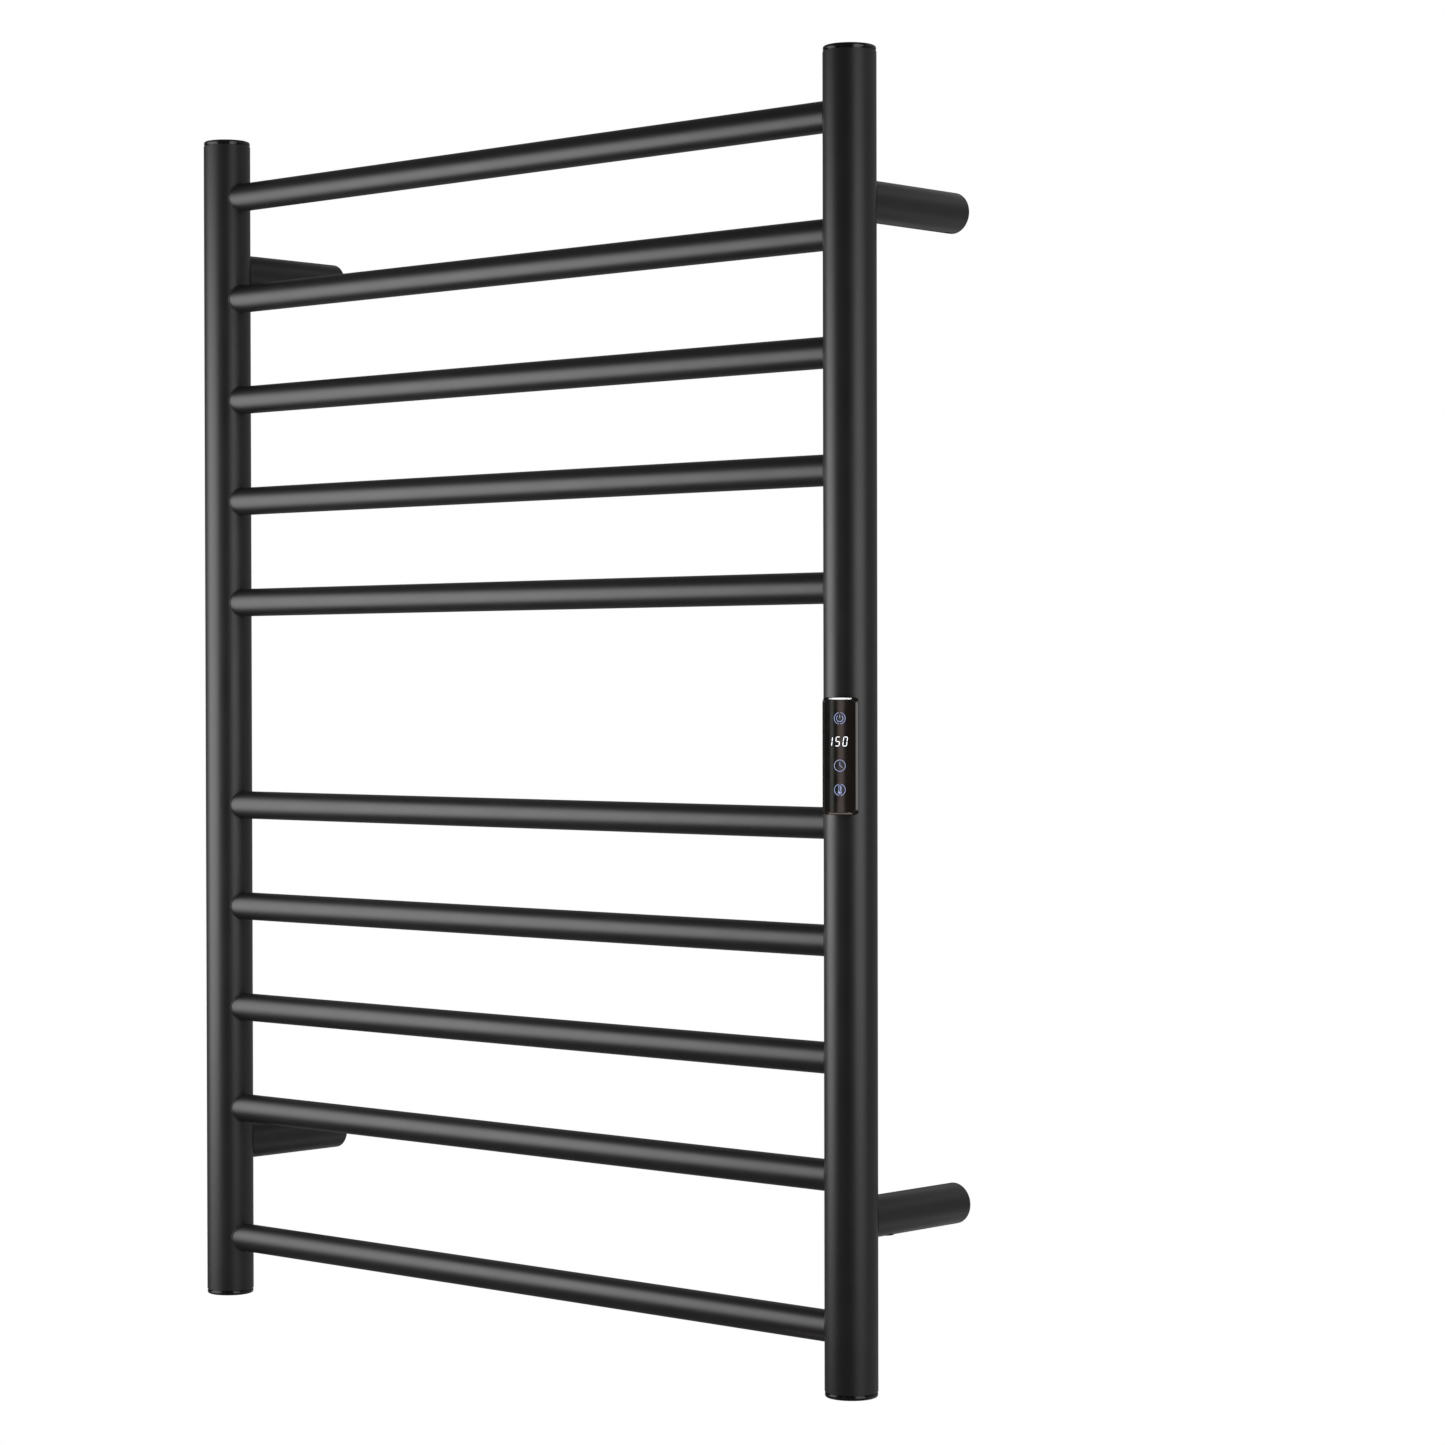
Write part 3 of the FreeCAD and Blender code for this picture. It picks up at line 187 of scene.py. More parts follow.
def gloss_cap_plastic():
    """Black ABS from a polished mould: mirror-like with slow flow waves."""
    material, tree, shader, place = start_material("polished_black_abs")
    flow_mm, haze_mm = 9, 4
    flow = spots(tree, place, flow_mm)
    tree.links.new(shade(tree, flow, "#0b0b0c", "#101011"), shader.inputs["Base Color"])
    tree.links.new(remap(tree, spots(tree, place, haze_mm, 4.0), 0.10, 0.16), shader.inputs["Roughness"])
    tree.links.new(relief(tree, flow, 0.03, 0.3), shader.inputs["Normal"])
    shader.inputs["IOR"].default_value = 1.53
    return material


def touch_lens_glass():
    """Black back-printed acrylic: deep gloss with a faint brown cast and light finger smears."""
    material, tree, shader, place = start_material("black_printed_acrylic")
    smear_mm, wave_mm = 7, 14
    smear = spots(tree, place, smear_mm, 5.0)
    tree.links.new(shade(tree, smear, "#16120e", "#1d1814"), shader.inputs["Base Color"])
    tree.links.new(remap(tree, smear, 0.03, 0.06), shader.inputs["Roughness"])
    tree.links.new(relief(tree, spots(tree, place, wave_mm), 0.01, 0.15), shader.inputs["Normal"])
    shader.inputs["IOR"].default_value = 1.49
    return material


def moulded_plastic(name, dark, light, roughness, grain_mm):
    """Moulded plastic with the fine pitted grain of an eroded mould."""
    material, tree, shader, place = start_material(name)
    cloud_mm, sheen_mm = 6, 3
    pits = add(tree, "ShaderNodeTexVoronoi", {"Vector": place, "Scale": 1 / (grain_mm * MM)})
    tree.links.new(shade(tree, spots(tree, place, cloud_mm, 3.0), dark, light), shader.inputs["Base Color"])
    tree.links.new(remap(tree, spots(tree, place, sheen_mm), roughness - 0.05, roughness + 0.05),
                   shader.inputs["Roughness"])
    tree.links.new(relief(tree, pits.outputs["Distance"], 0.02, 0.4), shader.inputs["Normal"])
    return material


def plated_metal(name, dark, light, roughness, line_mm):
    """Turned and plated metal: fine tool lines round the axis that runs into the wall."""
    material, tree, shader, place = start_material(name)
    shader.inputs["Metallic"].default_value = 1.0
    stretch, cloud_mm = 0.05, 5
    squeeze = add(tree, "ShaderNodeMapping", {"Vector": place, "Scale": (stretch, 1.0, stretch)})
    lines = spots(tree, squeeze.outputs["Vector"], line_mm, 3.0)
    tree.links.new(shade(tree, spots(tree, place, cloud_mm, 3.0), dark, light), shader.inputs["Base Color"])
    tree.links.new(remap(tree, lines, roughness - 0.06, roughness + 0.08), shader.inputs["Roughness"])
    tree.links.new(relief(tree, lines, 0.01, 0.4), shader.inputs["Normal"])
    return material


def soft_rubber(name, dark, light):
    """Moulded rubber or silicone: dull, with a dusty bloom."""
    material, tree, shader, place = start_material(name)
    bloom_mm, grain_mm = 3, 0.4
    bloom = spots(tree, place, bloom_mm, 5.0)
    tree.links.new(shade(tree, bloom, dark, light), shader.inputs["Base Color"])
    tree.links.new(remap(tree, bloom, 0.62, 0.8), shader.inputs["Roughness"])
    tree.links.new(relief(tree, spots(tree, place, grain_mm), 0.02, 0.3), shader.inputs["Normal"])
    return material


def circuit_board():
    """Glass-epoxy board: green solder resist over faintly raised copper tracks."""
    material, tree, shader, place = start_material("green_solder_resist")
    track_mm, gap_share = 2.2, 0.12
    tracks = add(tree, "ShaderNodeTexVoronoi", {"Vector": place, "Scale": 1 / (track_mm * MM)},
                 feature="DISTANCE_TO_EDGE")
    line = add(tree, "ShaderNodeMapRange", {"Value": tracks.outputs["Distance"], "From Max": gap_share})
    tree.links.new(shade(tree, line.outputs["Result"], "#2f8f4c", "#135a2a"), shader.inputs["Base Color"])
    tree.links.new(relief(tree, line.outputs["Result"], 0.03, -0.5), shader.inputs["Normal"])
    shader.inputs["Roughness"].default_value = 0.3
    return material


def lit_print(name, dim, bright, strength):
    """Printed symbol lit from behind by a small lamp, a little brighter in patches."""
    material, tree, shader, place = start_material(name)
    patch_mm = 2.5
    glow = shade(tree, remap(tree, spots(tree, place, patch_mm), 0.0, 1.0), dim, bright)
    tree.links.new(glow, shader.inputs["Emission Color"])
    shader.inputs["Base Color"].default_value = linear(dim)
    shader.inputs["Emission Strength"].default_value = strength
    shader.inputs["Roughness"].default_value = 0.3
    return material


def studio_floor():
    """Pale matt paper floor that fades out towards its rim, with a faint glow that keeps it pale."""
    material, tree, shader, place = start_material("pale_paper_floor")
    cloud_mm = 300
    paper = shade(tree, spots(tree, place, cloud_mm), "#efefee", "#f6f6f5")
    tree.links.new(paper, shader.inputs["Base Color"])
    far = add(tree, "ShaderNodeVectorMath", {0: place}, operation="LENGTH")
    tree.links.new(smooth_step(tree, far.outputs["Value"], 0.5, 1.5, 1.0, 0.0), shader.inputs["Alpha"])
    shader.inputs["Roughness"].default_value = 0.9
    shader.inputs["Emission Color"].default_value = linear("#ffffff")
    shader.inputs["Emission Strength"].default_value = 0.4
    return material


POWDER_COAT = satin_powder_coat()
GLOSS_CAP = gloss_cap_plastic()
TOUCH_LENS = touch_lens_glass()
HOUSING = moulded_plastic("black_grained_abs", "#17181a", "#1f2022", 0.42, 0.3)
ZINC = plated_metal("turned_zinc_plate", "#a9acae", "#c3c6c8", 0.34, 0.3)
DARK_STEEL = plated_metal("black_oxide_steel", "#2c2c2d", "#3a3a3b", 0.38, 0.3)
TINNED = plated_metal("tinned_copper", "#b8b5ac", "#cfccc4", 0.3, 0.3)
RUBBER = soft_rubber("moulded_black_rubber", "#0e0e0e", "#171717")
ICON_LIGHT = lit_print("pale_blue_backlit_print", "#93a9dc", "#b3c4ee", 0.85)
DIGIT_LIGHT = lit_print("white_backlit_digits", "#e4ebf5", "#ffffff", 1.2)
FLOOR = studio_floor()

SLOT_FINISH = {
    "black_paint": POWDER_COAT,
    "gloss_cap": GLOSS_CAP,
    "touch_glass": TOUCH_LENS,
    "black_housing": HOUSING,
    "zinc_base": ZINC,
    "zinc_steel": ZINC,
    "dark_steel": DARK_STEEL,
    "tinned_copper": TINNED,
    "black_rubber": RUBBER,
    "foam_tape": soft_rubber("black_foam_tape", "#1a1a1a", "#242424"),
    "cable_silicone": soft_rubber("red_brown_silicone", "#8a3d28", "#a04a30"),
    "lead_jacket": soft_rubber("black_lead_jacket", "#161616", "#1f1f1f"),
    "white_nylon": moulded_plastic("white_moulded_nylon", "#e2e0d8", "#eeece6", 0.4, 0.4),
    "green_nylon": moulded_plastic("green_moulded_nylon", "#2f8a4a", "#3b9c58", 0.42, 0.4),
    "circuit_board": circuit_board(),
    "shield_can": plated_metal("stamped_tin_shield", "#b5b5b1", "#cacac6", 0.32, 0.4),
    "display_body": moulded_plastic("black_cast_resin", "#141416", "#1b1b1e", 0.35, 0.3),
    "lamp_light": lit_print("pale_blue_lamp", "#7f98cf", "#9db3e0", 1.0),
    "blue_case": moulded_plastic("blue_moulded_case", "#1c3f86", "#25509e", 0.38, 0.3),
    "black_case": moulded_plastic("black_moulded_case", "#151515", "#1e1e1e", 0.45, 0.3),
    "film_case": soft_rubber("yellow_dipped_resin", "#a88c28", "#bb9c33"),
}
for entry in frame["record"]["subparts"]:
    mesh = frame["nodes"][entry["node"]].data
    mesh.materials.clear()
    mesh.materials.append(SLOT_FINISH[entry["material_slot"]])


# ---------------------------------------------------------------- shapes

def finish_piece(name, mesh, material, nodes, body="rack", crease_degrees=35):
    """Names a mesh as a piece, shades it, gives it its finish, ties it to its body, and hides the CAD nodes
    it replaces.
    """
    piece = bpy.data.objects.new(name, mesh)
    bpy.context.scene.collection.objects.link(piece)
    mesh.materials.clear()
    mesh.materials.append(material)
    mesh.shade_smooth()
    mesh.set_sharp_from_angle(angle=math.radians(crease_degrees))
    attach(piece, body)
    if nodes:
        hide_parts(*nodes)
    return piece


def rounded(corners, steps=6):
    """Outline in which each corner (r, along, rounding) becomes an arc of that radius."""
    outline = []
    count = len(corners)
    for i, (r, along, radius) in enumerate(corners):
        corner = Vector((r, along))
        if radius == 0:
            outline.append(corner)
            continue
        come = (corner - Vector(corners[i - 1][:2])).normalized()
        go = (Vector(corners[(i + 1) % count][:2]) - corner).normalized()
        half = come.angle(go) / 2
        first = corner - come * radius * math.tan(half)
        inward = (go - come).normalized()
        centre = corner + inward * radius / math.cos(half)
        arm = first - centre
        swing = 2 * half * (1 if come.x * go.y - come.y * go.x > 0 else -1)
        for step in range(steps + 1):
            angle = swing * step / steps
            outline.append(centre + Matrix.Rotation(angle, 2) @ arm)
    return outline


def lathe(outline, axis, place, segments=96):
    """Closed outline of (radius, along) turned about an axis through a point; points on the axis close."""
    along = Vector(axis)
    across = along.orthogonal().normalized()
    side = along.cross(across)
    on_axis = 1e-7
    form = bmesh.new()
    rings = []
    for r, height in outline:
        if r < on_axis:
            rings.append([form.verts.new(place + along * height)] * segments)
            continue
        rings.append([
            form.verts.new(place + along * height + r * (across * math.cos(turn) + side * math.sin(turn)))
            for turn in (WHOLE_TURN * i / segments for i in range(segments))
        ])
    for lower, upper in zip(rings, rings[1:] + rings[:1]):
        for i in range(segments):
            j = (i + 1) % segments
            face = list(dict.fromkeys((lower[i], lower[j], upper[j], upper[i])))
            if len(face) > 2:
                form.faces.new(face)
    return to_mesh(form)


def to_mesh(form):
    """Plain mesh from a closed bmesh, faces outwards."""
    bmesh.ops.recalc_face_normals(form, faces=form.faces)
    mesh = bpy.data.meshes.new("shape")
    form.to_mesh(mesh)
    form.free()
    return mesh


def cut_away(mesh, *tools):
    """The mesh with the closed tool meshes cut out of it."""
    base = bpy.data.objects.new("blank", mesh)
    bpy.context.scene.collection.objects.link(base)
    cutters = []
    for tool in tools:
        cutter = bpy.data.objects.new("cutter", tool)
        bpy.context.scene.collection.objects.link(cutter)
        cutters.append(cutter)
        boolean = base.modifiers.new("cut", "BOOLEAN")
        boolean.operation = "DIFFERENCE"
        boolean.solver = "EXACT"
        boolean.object = cutter
    shapes = bpy.context.evaluated_depsgraph_get()
    result = bpy.data.meshes.new_from_object(base.evaluated_get(shapes))
    for leftover in [base, *cutters]:
        bpy.data.objects.remove(leftover)
    return result


def new_tree(name, **inputs):
    """Geometry Nodes tree with named inputs; gives the tree, its input node and its output node."""
    tree = bpy.data.node_groups.new(name, "GeometryNodeTree")
    tree.interface.new_socket("Geometry", in_out="INPUT", socket_type="NodeSocketGeometry")
    for label, kind in inputs.items():
        tree.interface.new_socket(label.replace("_", " "), in_out="INPUT", socket_type=kind)
    tree.interface.new_socket("Geometry", in_out="OUTPUT", socket_type="NodeSocketGeometry")
    return tree, tree.nodes.new("NodeGroupInput"), tree.nodes.new("NodeGroupOutput")


def grow(tree, values, seed=None):
    """Plain mesh that a Geometry Nodes tree makes from these input values."""
    holder = bpy.data.objects.new("holder", seed or bpy.data.meshes.new("seed"))
    bpy.context.scene.collection.objects.link(holder)
    modifier = holder.modifiers.new("grow", "NODES")
    modifier.node_group = tree
    for item in tree.interface.items_tree:
        if item.item_type == "SOCKET" and item.in_out == "INPUT" and item.name in values:
            modifier[item.identifier] = values[item.name]
    shapes = bpy.context.evaluated_depsgraph_get()
    mesh = bpy.data.meshes.new_from_object(holder.evaluated_get(shapes))
    bpy.data.objects.remove(holder)
    return mesh


def points_mesh(points):
    """Loose vertices that a tree puts its copies on."""
    mesh = bpy.data.meshes.new("places")
    mesh.from_pydata([tuple(point) for point in points], [], [])
    return mesh


# ---------------------------------------------------------------- ladder

def bar_tree():
    """Round bar along X: a circle swept along a straight line, with closed ends."""
    tree, given, out = new_tree("round_bar", Radius="NodeSocketFloat", Length="NodeSocketFloat",
                                Finish="NodeSocketMaterial")
    half = add(tree, "ShaderNodeMath", {0: given.outputs["Length"], 1: 0.5}, operation="MULTIPLY")
    far = add(tree, "ShaderNodeCombineXYZ", {"X": half.outputs[0]})
    near = add(tree, "ShaderNodeVectorMath", {0: far.outputs[0], 1: (-1, -1, -1)}, operation="MULTIPLY")
    line = add(tree, "GeometryNodeCurvePrimitiveLine", {"Start": near.outputs[0], "End": far.outputs[0]})
    divided = add(tree, "GeometryNodeResampleCurve", {"Curve": line.outputs[0], "Count": 25})
    ring = add(tree, "GeometryNodeCurvePrimitiveCircle",
               {"Resolution": 96, "Radius": given.outputs["Radius"]})
    swept = add(tree, "GeometryNodeCurveToMesh",
                {"Curve": divided.outputs[0], "Profile Curve": ring.outputs[0], "Fill Caps": True})
    painted = add(tree, "GeometryNodeSetMaterial",
                  {"Geometry": swept.outputs[0], "Material": given.outputs["Finish"]})
    tree.links.new(painted.outputs[0], out.inputs[0])
    return tree


def weld_tree():
    """Weld bead where a bar meets a post, copied to every joint and mirrored on the far side."""
    tree, given, out = new_tree("weld_bead", Bar_Radius="NodeSocketFloat", Post_Radius="NodeSocketFloat",
                                Bead="NodeSocketFloat", Finish="NodeSocketMaterial")
    loop = add(tree, "GeometryNodeCurvePrimitiveCircle",
               {"Resolution": 96, "Radius": given.outputs["Bar Radius"]})
    spot = add(tree, "GeometryNodeInputPosition")
    flat = add(tree, "ShaderNodeSeparateXYZ", {0: spot.outputs[0]})
    post_square = add(tree, "ShaderNodeMath", {0: given.outputs["Post Radius"], 1: 2.0}, operation="POWER")
    back_square = add(tree, "ShaderNodeMath", {0: flat.outputs["X"], 1: flat.outputs["X"]},
                      operation="MULTIPLY")
    left = add(tree, "ShaderNodeMath", {0: post_square.outputs[0], 1: back_square.outputs[0]},
               operation="SUBTRACT")
    reach = add(tree, "ShaderNodeMath", {0: left.outputs[0]}, operation="SQRT")
    seam = add(tree, "ShaderNodeCombineXYZ",
               {"X": reach.outputs[0], "Y": flat.outputs["X"], "Z": flat.outputs["Y"]})
    wrapped = add(tree, "GeometryNodeSetPosition",
                  {"Geometry": loop.outputs[0], "Position": seam.outputs[0]})
    section = add(tree, "GeometryNodeCurvePrimitiveCircle",
                  {"Resolution": 10, "Radius": given.outputs["Bead"]})
    bead = add(tree, "GeometryNodeCurveToMesh",
               {"Curve": wrapped.outputs[0], "Profile Curve": section.outputs[0]})
    where = add(tree, "GeometryNodeInputPosition")
    which = add(tree, "ShaderNodeSeparateXYZ", {0: where.outputs[0]})
    far_side = add(tree, "FunctionNodeCompare", {0: which.outputs["X"], 1: 0.0}, operation="GREATER_THAN")
    turn = add(tree, "ShaderNodeMath", {0: far_side.outputs[0], 1: math.pi}, operation="MULTIPLY")
    spin = add(tree, "ShaderNodeCombineXYZ", {"Z": turn.outputs[0]})
    copies = add(tree, "GeometryNodeInstanceOnPoints",
                 {"Points": given.outputs["Geometry"], "Instance": bead.outputs[0],
                  "Rotation": spin.outputs[0]})
    real = add(tree, "GeometryNodeRealizeInstances", {"Geometry": copies.outputs[0]})
    painted = add(tree, "GeometryNodeSetMaterial",
                  {"Geometry": real.outputs[0], "Material": given.outputs["Finish"]})
    tree.links.new(painted.outputs[0], out.inputs[0])
    return tree


def make_bars():
    """Ten bars, each its own piece."""
    tree = bar_tree()
    for name in BARS:
        size = extent(name)
        mesh = grow(tree, {"Radius": BAR_RADIUS, "Length": size.x, "Finish": POWDER_COAT})
        mesh.transform(Matrix.Translation(middle(name)))
        finish_piece(f"painted_{name}", mesh, POWDER_COAT, [name])


def make_welds():
    """Small painted weld beads round every bar end."""
    bead = 0.55 * MM
    joints = [Vector((post.x, middle(bar).y, middle(bar).z)) for post in SIDES.values() for bar in BARS]
    mesh = grow(weld_tree(), {"Bar Radius": BAR_RADIUS, "Post Radius": POST_RADIUS, "Bead": bead,
                              "Finish": POWDER_COAT}, points_mesh(joints))
    finish_piece("weld_beads", mesh, POWDER_COAT, [], crease_degrees=60)


def make_posts():
    """Posts as open tubes with slightly broken ends."""
    wall, edge = 1.5 * MM, 0.35 * MM
    for side, centre in SIDES.items():
        half = extent(f"{side}_post").z / 2
        outline = rounded([
            (POST_RADIUS, -half, edge), (POST_RADIUS, half, edge),
            (POST_RADIUS - wall, half, 0), (POST_RADIUS - wall, -half, 0),
        ])
        mesh = lathe(outline, (0, 0, 1), centre, segments=160)
        finish_piece(f"painted_{side}_post", mesh, POWDER_COAT, [f"{side}_post"])


def make_caps():
    """Gloss caps: a crown with a rounded edge over a shadow groove, and the plug below it."""
    inset, neck_inset, groove, edge = 0.2 * MM, 1.4 * MM, 0.9 * MM, 1.2 * MM
    plug_inset, plug_wall, lip, drop, dome_edge = 1.65 * MM, 2 * MM, 0.15 * MM, 0.25 * MM, 3 * MM
    crown = POST_RADIUS - inset
    flat_top = crown * 0.45
    neck = POST_RADIUS - neck_inset
    plug = POST_RADIUS - plug_inset
    bore = plug - plug_wall
    for side, centre in SIDES.items():
        for end, way in (("top", 1), ("bottom", -1)):
            node = f"{end}_cap_{side}"
            seat = centre.z + way * extent(f"{side}_post").z / 2
            tip = (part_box(node)[1 if way > 0 else 0][2] - seat) * way
            depth = extent(node).z - tip
            outline = rounded([
                (0, -plug_wall, 0), (bore, -plug_wall, 0), (bore, -depth, 0), (plug, -depth, 0),
                (plug, 0, 0), (neck, 0, 0), (neck, groove, 0), (crown, groove, lip),
                (crown, tip - drop, edge), (flat_top, tip, dome_edge), (0, tip, 0),
            ])
            mesh = lathe(outline, (0, 0, way), Vector((centre.x, centre.y, seat)), segments=128)
            finish_piece(f"gloss_{node}", mesh, GLOSS_CAP, [node])


# ---------------------------------------------------------------- wall fixing

def seam_ring(post, height, radius, thickness):
    """Thin round cord along the line where a sleeve of this radius meets the post."""
    form = bmesh.new()
    rings = []
    steps, around = 96, 8
    for i in range(steps):
        turn = WHOLE_TURN * i / steps
        across, up = math.cos(turn), math.sin(turn)
        depth = math.sqrt(POST_RADIUS ** 2 - (radius * across) ** 2)
        centre = Vector((radius * across, depth, radius * up))
        outward = Vector((across, 0, up))
        ring = []
        for k in range(around):
            swing = WHOLE_TURN * k / around
            offset = outward * math.cos(swing) + Vector((0, 1, 0)) * math.sin(swing)
            ring.append(form.verts.new(Vector((post.x, post.y, height)) + centre + offset * thickness))
        rings.append(ring)
    for first, second in zip(rings, rings[1:] + rings[:1]):
        for k in range(around):
            m = (k + 1) % around
            form.faces.new((first[k], first[m], second[m], second[k]))
    return to_mesh(form)


def drill(centre, radius, length):
    """Upright round cutter."""
    outline = [(0, -length / 2), (radius, -length / 2), (radius, length / 2), (0, length / 2)]
    return lathe(outline, (0, 0, 1), centre, segments=48)


def make_sleeves():
    """Sleeves with a rounded wall end, a bore for the wall base, a seam at the post and drilled holes."""
    wall, edge, bore_edge, floor = 3 * MM, 1.0 * MM, 0.3 * MM, 3 * MM
    seam_depth, hole_from_end, hole, cord_hole, cut = 0.4 * MM, 8 * MM, 2.5 * MM, 5.5 * MM, 8 * MM
    for corner in CORNERS:
        node = f"sleeve_{corner}"
        post = SIDES[corner.split("_")[1]]
        centre = middle(node)
        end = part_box(node)[1][1] - post.y
        start = POST_RADIUS * 0.6
        seat = POST_RADIUS + floor
        bore = SLEEVE_RADIUS - wall
        outline = rounded([
            (0, start, 0), (SLEEVE_RADIUS, start, 0), (SLEEVE_RADIUS, end, edge), (bore, end, bore_edge),
            (bore, seat, 0), (0, seat, 0),
        ])
        axis_start = Vector((centre.x, post.y, centre.z))
        mesh = lathe(outline, (0, 1, 0), axis_start, segments=128)
        under = centre.z - SLEEVE_RADIUS
        cutters = [
            seam_ring(post, centre.z, SLEEVE_RADIUS, seam_depth),
            drill(Vector((centre.x, post.y + end - hole_from_end, under)), hole, cut),
        ]
        if corner == "lower_right":
            cutters.append(drill(Vector((centre.x, middle("cord_bushing").y, under)), cord_hole, cut))
        mesh = cut_away(mesh, *cutters)
        finish_piece(f"painted_{node}", mesh, POWDER_COAT, [node])


def make_wall_bases():
    """Turned cups on the wall, with a screw hole in the floor and a lead-in chamfer."""
    cup, hole, floor = BASE_RADIUS - 2.5 * MM, 2.75 * MM, 6 * MM
    burr, lead_in, rim, corner_edge, hole_edge = 0.2 * MM, 0.9 * MM, 0.3 * MM, 0.5 * MM, 0.4 * MM
    for corner in CORNERS:
        node = f"wall_base_{corner}"
        centre = middle(node)
        length = extent(node).y
        outline = rounded([
            (hole, 0, rim), (BASE_RADIUS, 0, burr), (BASE_RADIUS, length, lead_in),
            (cup, length, rim), (cup, floor, corner_edge), (hole, floor, hole_edge),
        ], steps=4)
        mesh = lathe(outline, (0, -1, 0), Vector((centre.x, 0, centre.z)))
        finish_piece(f"turned_{node}", mesh, ZINC, [node], body="wall_mounts")


def grub_tree():
    """Grub screw: a short round body with a hexagon socket, copied to its places."""
    tree, given, out = new_tree("grub_screw", Radius="NodeSocketFloat", Length="NodeSocketFloat",
                                Socket="NodeSocketFloat", Finish="NodeSocketMaterial")
    half = add(tree, "ShaderNodeMath", {0: given.outputs["Length"], 1: 0.5}, operation="MULTIPLY")
    body = add(tree, "GeometryNodeMeshCylinder",
               {"Vertices": 48, "Radius": given.outputs["Radius"], "Depth": given.outputs["Length"]})
    key = add(tree, "GeometryNodeMeshCylinder",
              {"Vertices": 6, "Radius": given.outputs["Socket"], "Depth": given.outputs["Length"]})
    lower = add(tree, "ShaderNodeMath", {0: half.outputs[0], 1: -1.0}, operation="MULTIPLY")
    drop = add(tree, "ShaderNodeCombineXYZ", {"Z": lower.outputs[0]})
    socket = add(tree, "GeometryNodeTransform",
                 {"Geometry": key.outputs["Mesh"], "Translation": drop.outputs[0]})
    cored = add(tree, "GeometryNodeMeshBoolean", operation="DIFFERENCE", solver="EXACT")
    tree.links.new(body.outputs["Mesh"], cored.inputs["Mesh 1"])
    tree.links.new(socket.outputs["Geometry"], cored.inputs["Mesh 2"])
    copies = add(tree, "GeometryNodeInstanceOnPoints",
                 {"Points": given.outputs["Geometry"], "Instance": cored.outputs["Mesh"]})
    real = add(tree, "GeometryNodeRealizeInstances", {"Geometry": copies.outputs[0]})
    painted = add(tree, "GeometryNodeSetMaterial",
                  {"Geometry": real.outputs[0], "Material": given.outputs["Finish"]})
    tree.links.new(painted.outputs[0], out.inputs[0])
    return tree


def make_grub_screws():
    """Four grub screws in the undersides of the sleeves, and below them dark liners in the drilled holes
    that are painted shade.
    """
    low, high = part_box("grub_screws")
    length, sink, radius, socket = 1.75 * MM, 1.0 * MM, 2.45 * MM, 2 * MM
    places = []
    for corner in CORNERS:
        centre = middle(f"sleeve_{corner}")
        places.append((centre.x, (low[1] + high[1]) / 2, centre.z - SLEEVE_RADIUS + sink + length / 2))
    mesh = grow(grub_tree(), {"Radius": radius, "Length": length, "Socket": socket,
                              "Finish": DARK_STEEL}, points_mesh(places))
    finish_piece("socket_grub_screws", mesh, DARK_STEEL, ["grub_screws"])

    # Painted shade: dark rubber liners in the drilled holes, from just inside the surface to the screws,
    # stand in for the shadow inside each hole.
    bore, start, thickness = 2.5 * MM, 0.28 * MM, 0.2 * MM
    outline = [(bore - thickness, start), (bore, start), (bore, sink), (bore - thickness, sink)]
    shade_liners = bmesh.new()
    for x, y, z in places:
        shade_liners.from_mesh(lathe(outline, (0, 0, 1), Vector((x, y, z - sink - length / 2)), segments=48))
    finish_piece("painted_shade_hole_liners", to_mesh(shade_liners), RUBBER, [])


def make_bushing():
    """Rubber bushing with a rounded lip, set just inside the underside of the sleeve."""
    low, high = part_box("cord_bushing")
    centre = middle("cord_bushing")
    outer, hole, height = extent("cord_bushing").x / 2, 3.1 * MM, high[2] - low[2]
    mouth, lip, edge, recess = 0.6 * MM, 0.25 * MM, 0.2 * MM, 0.7 * MM
    outline = rounded([
        (hole, 0, mouth), (outer, 0, lip), (outer, height, edge), (hole, height, edge),
    ], steps=5)
    mesh = lathe(outline, (0, 0, 1), Vector((centre.x, centre.y, low[2] + recess)), segments=64)
    finish_piece("rubber_cord_bushing", mesh, RUBBER, ["cord_bushing"])


# ---------------------------------------------------------------- touch control

def crowned(across):
    """Distance of the touch face from the post's axis at a distance across it."""
    return FACE_REACH - FACE_CROWN * (across / (FACE_WIDTH / 2)) ** 2


def rectangle_ring(width, height, corner, steps=8, spans=16):
    """Points of a rounded rectangle, seen from the front, with its top and bottom edges divided."""
    smallest = 0.05 * MM
    corner = max(corner, smallest)
    ring = []
    for quarter, (x, z) in enumerate(((1, 1), (-1, 1), (-1, -1), (1, -1))):
        centre = Vector((x * (width / 2 - corner), z * (height / 2 - corner)))
        for step in range(steps + 1):
            angle = math.pi / 2 * (quarter + step / steps)
            ring.append(centre + corner * Vector((math.cos(angle), math.sin(angle))))
        if x * z > 0:
            last = ring[-1]
            run = Vector((-2 * centre.x, 0))
            ring.extend(last + run * span / spans for span in range(1, spans))
    return ring


def loft(levels, front_crown=False):
    """Closed shape through rounded rectangles (width, height, corner, reach), from back to front."""
    form = bmesh.new()
    rings = []
    for width, height, corner, reach in levels:
        ring = []
        for spot in rectangle_ring(width, height, corner):
            drop = FACE_REACH - crowned(spot.x) if front_crown and reach >= FACE_REACH else 0
            ring.append(form.verts.new(Vector((spot.x, -(reach - drop), spot.y))))
        rings.append(ring)
    for back, front in zip(rings, rings[1:]):
        for i, start in enumerate(back):
            j = (i + 1) % len(back)
            form.faces.new((start, back[j], front[j], front[i]))
    form.faces.new(rings[0])
    form.faces.new(rings[-1])
    mesh = to_mesh(form)
    mesh.transform(CONTROL_PLACE)
    return mesh


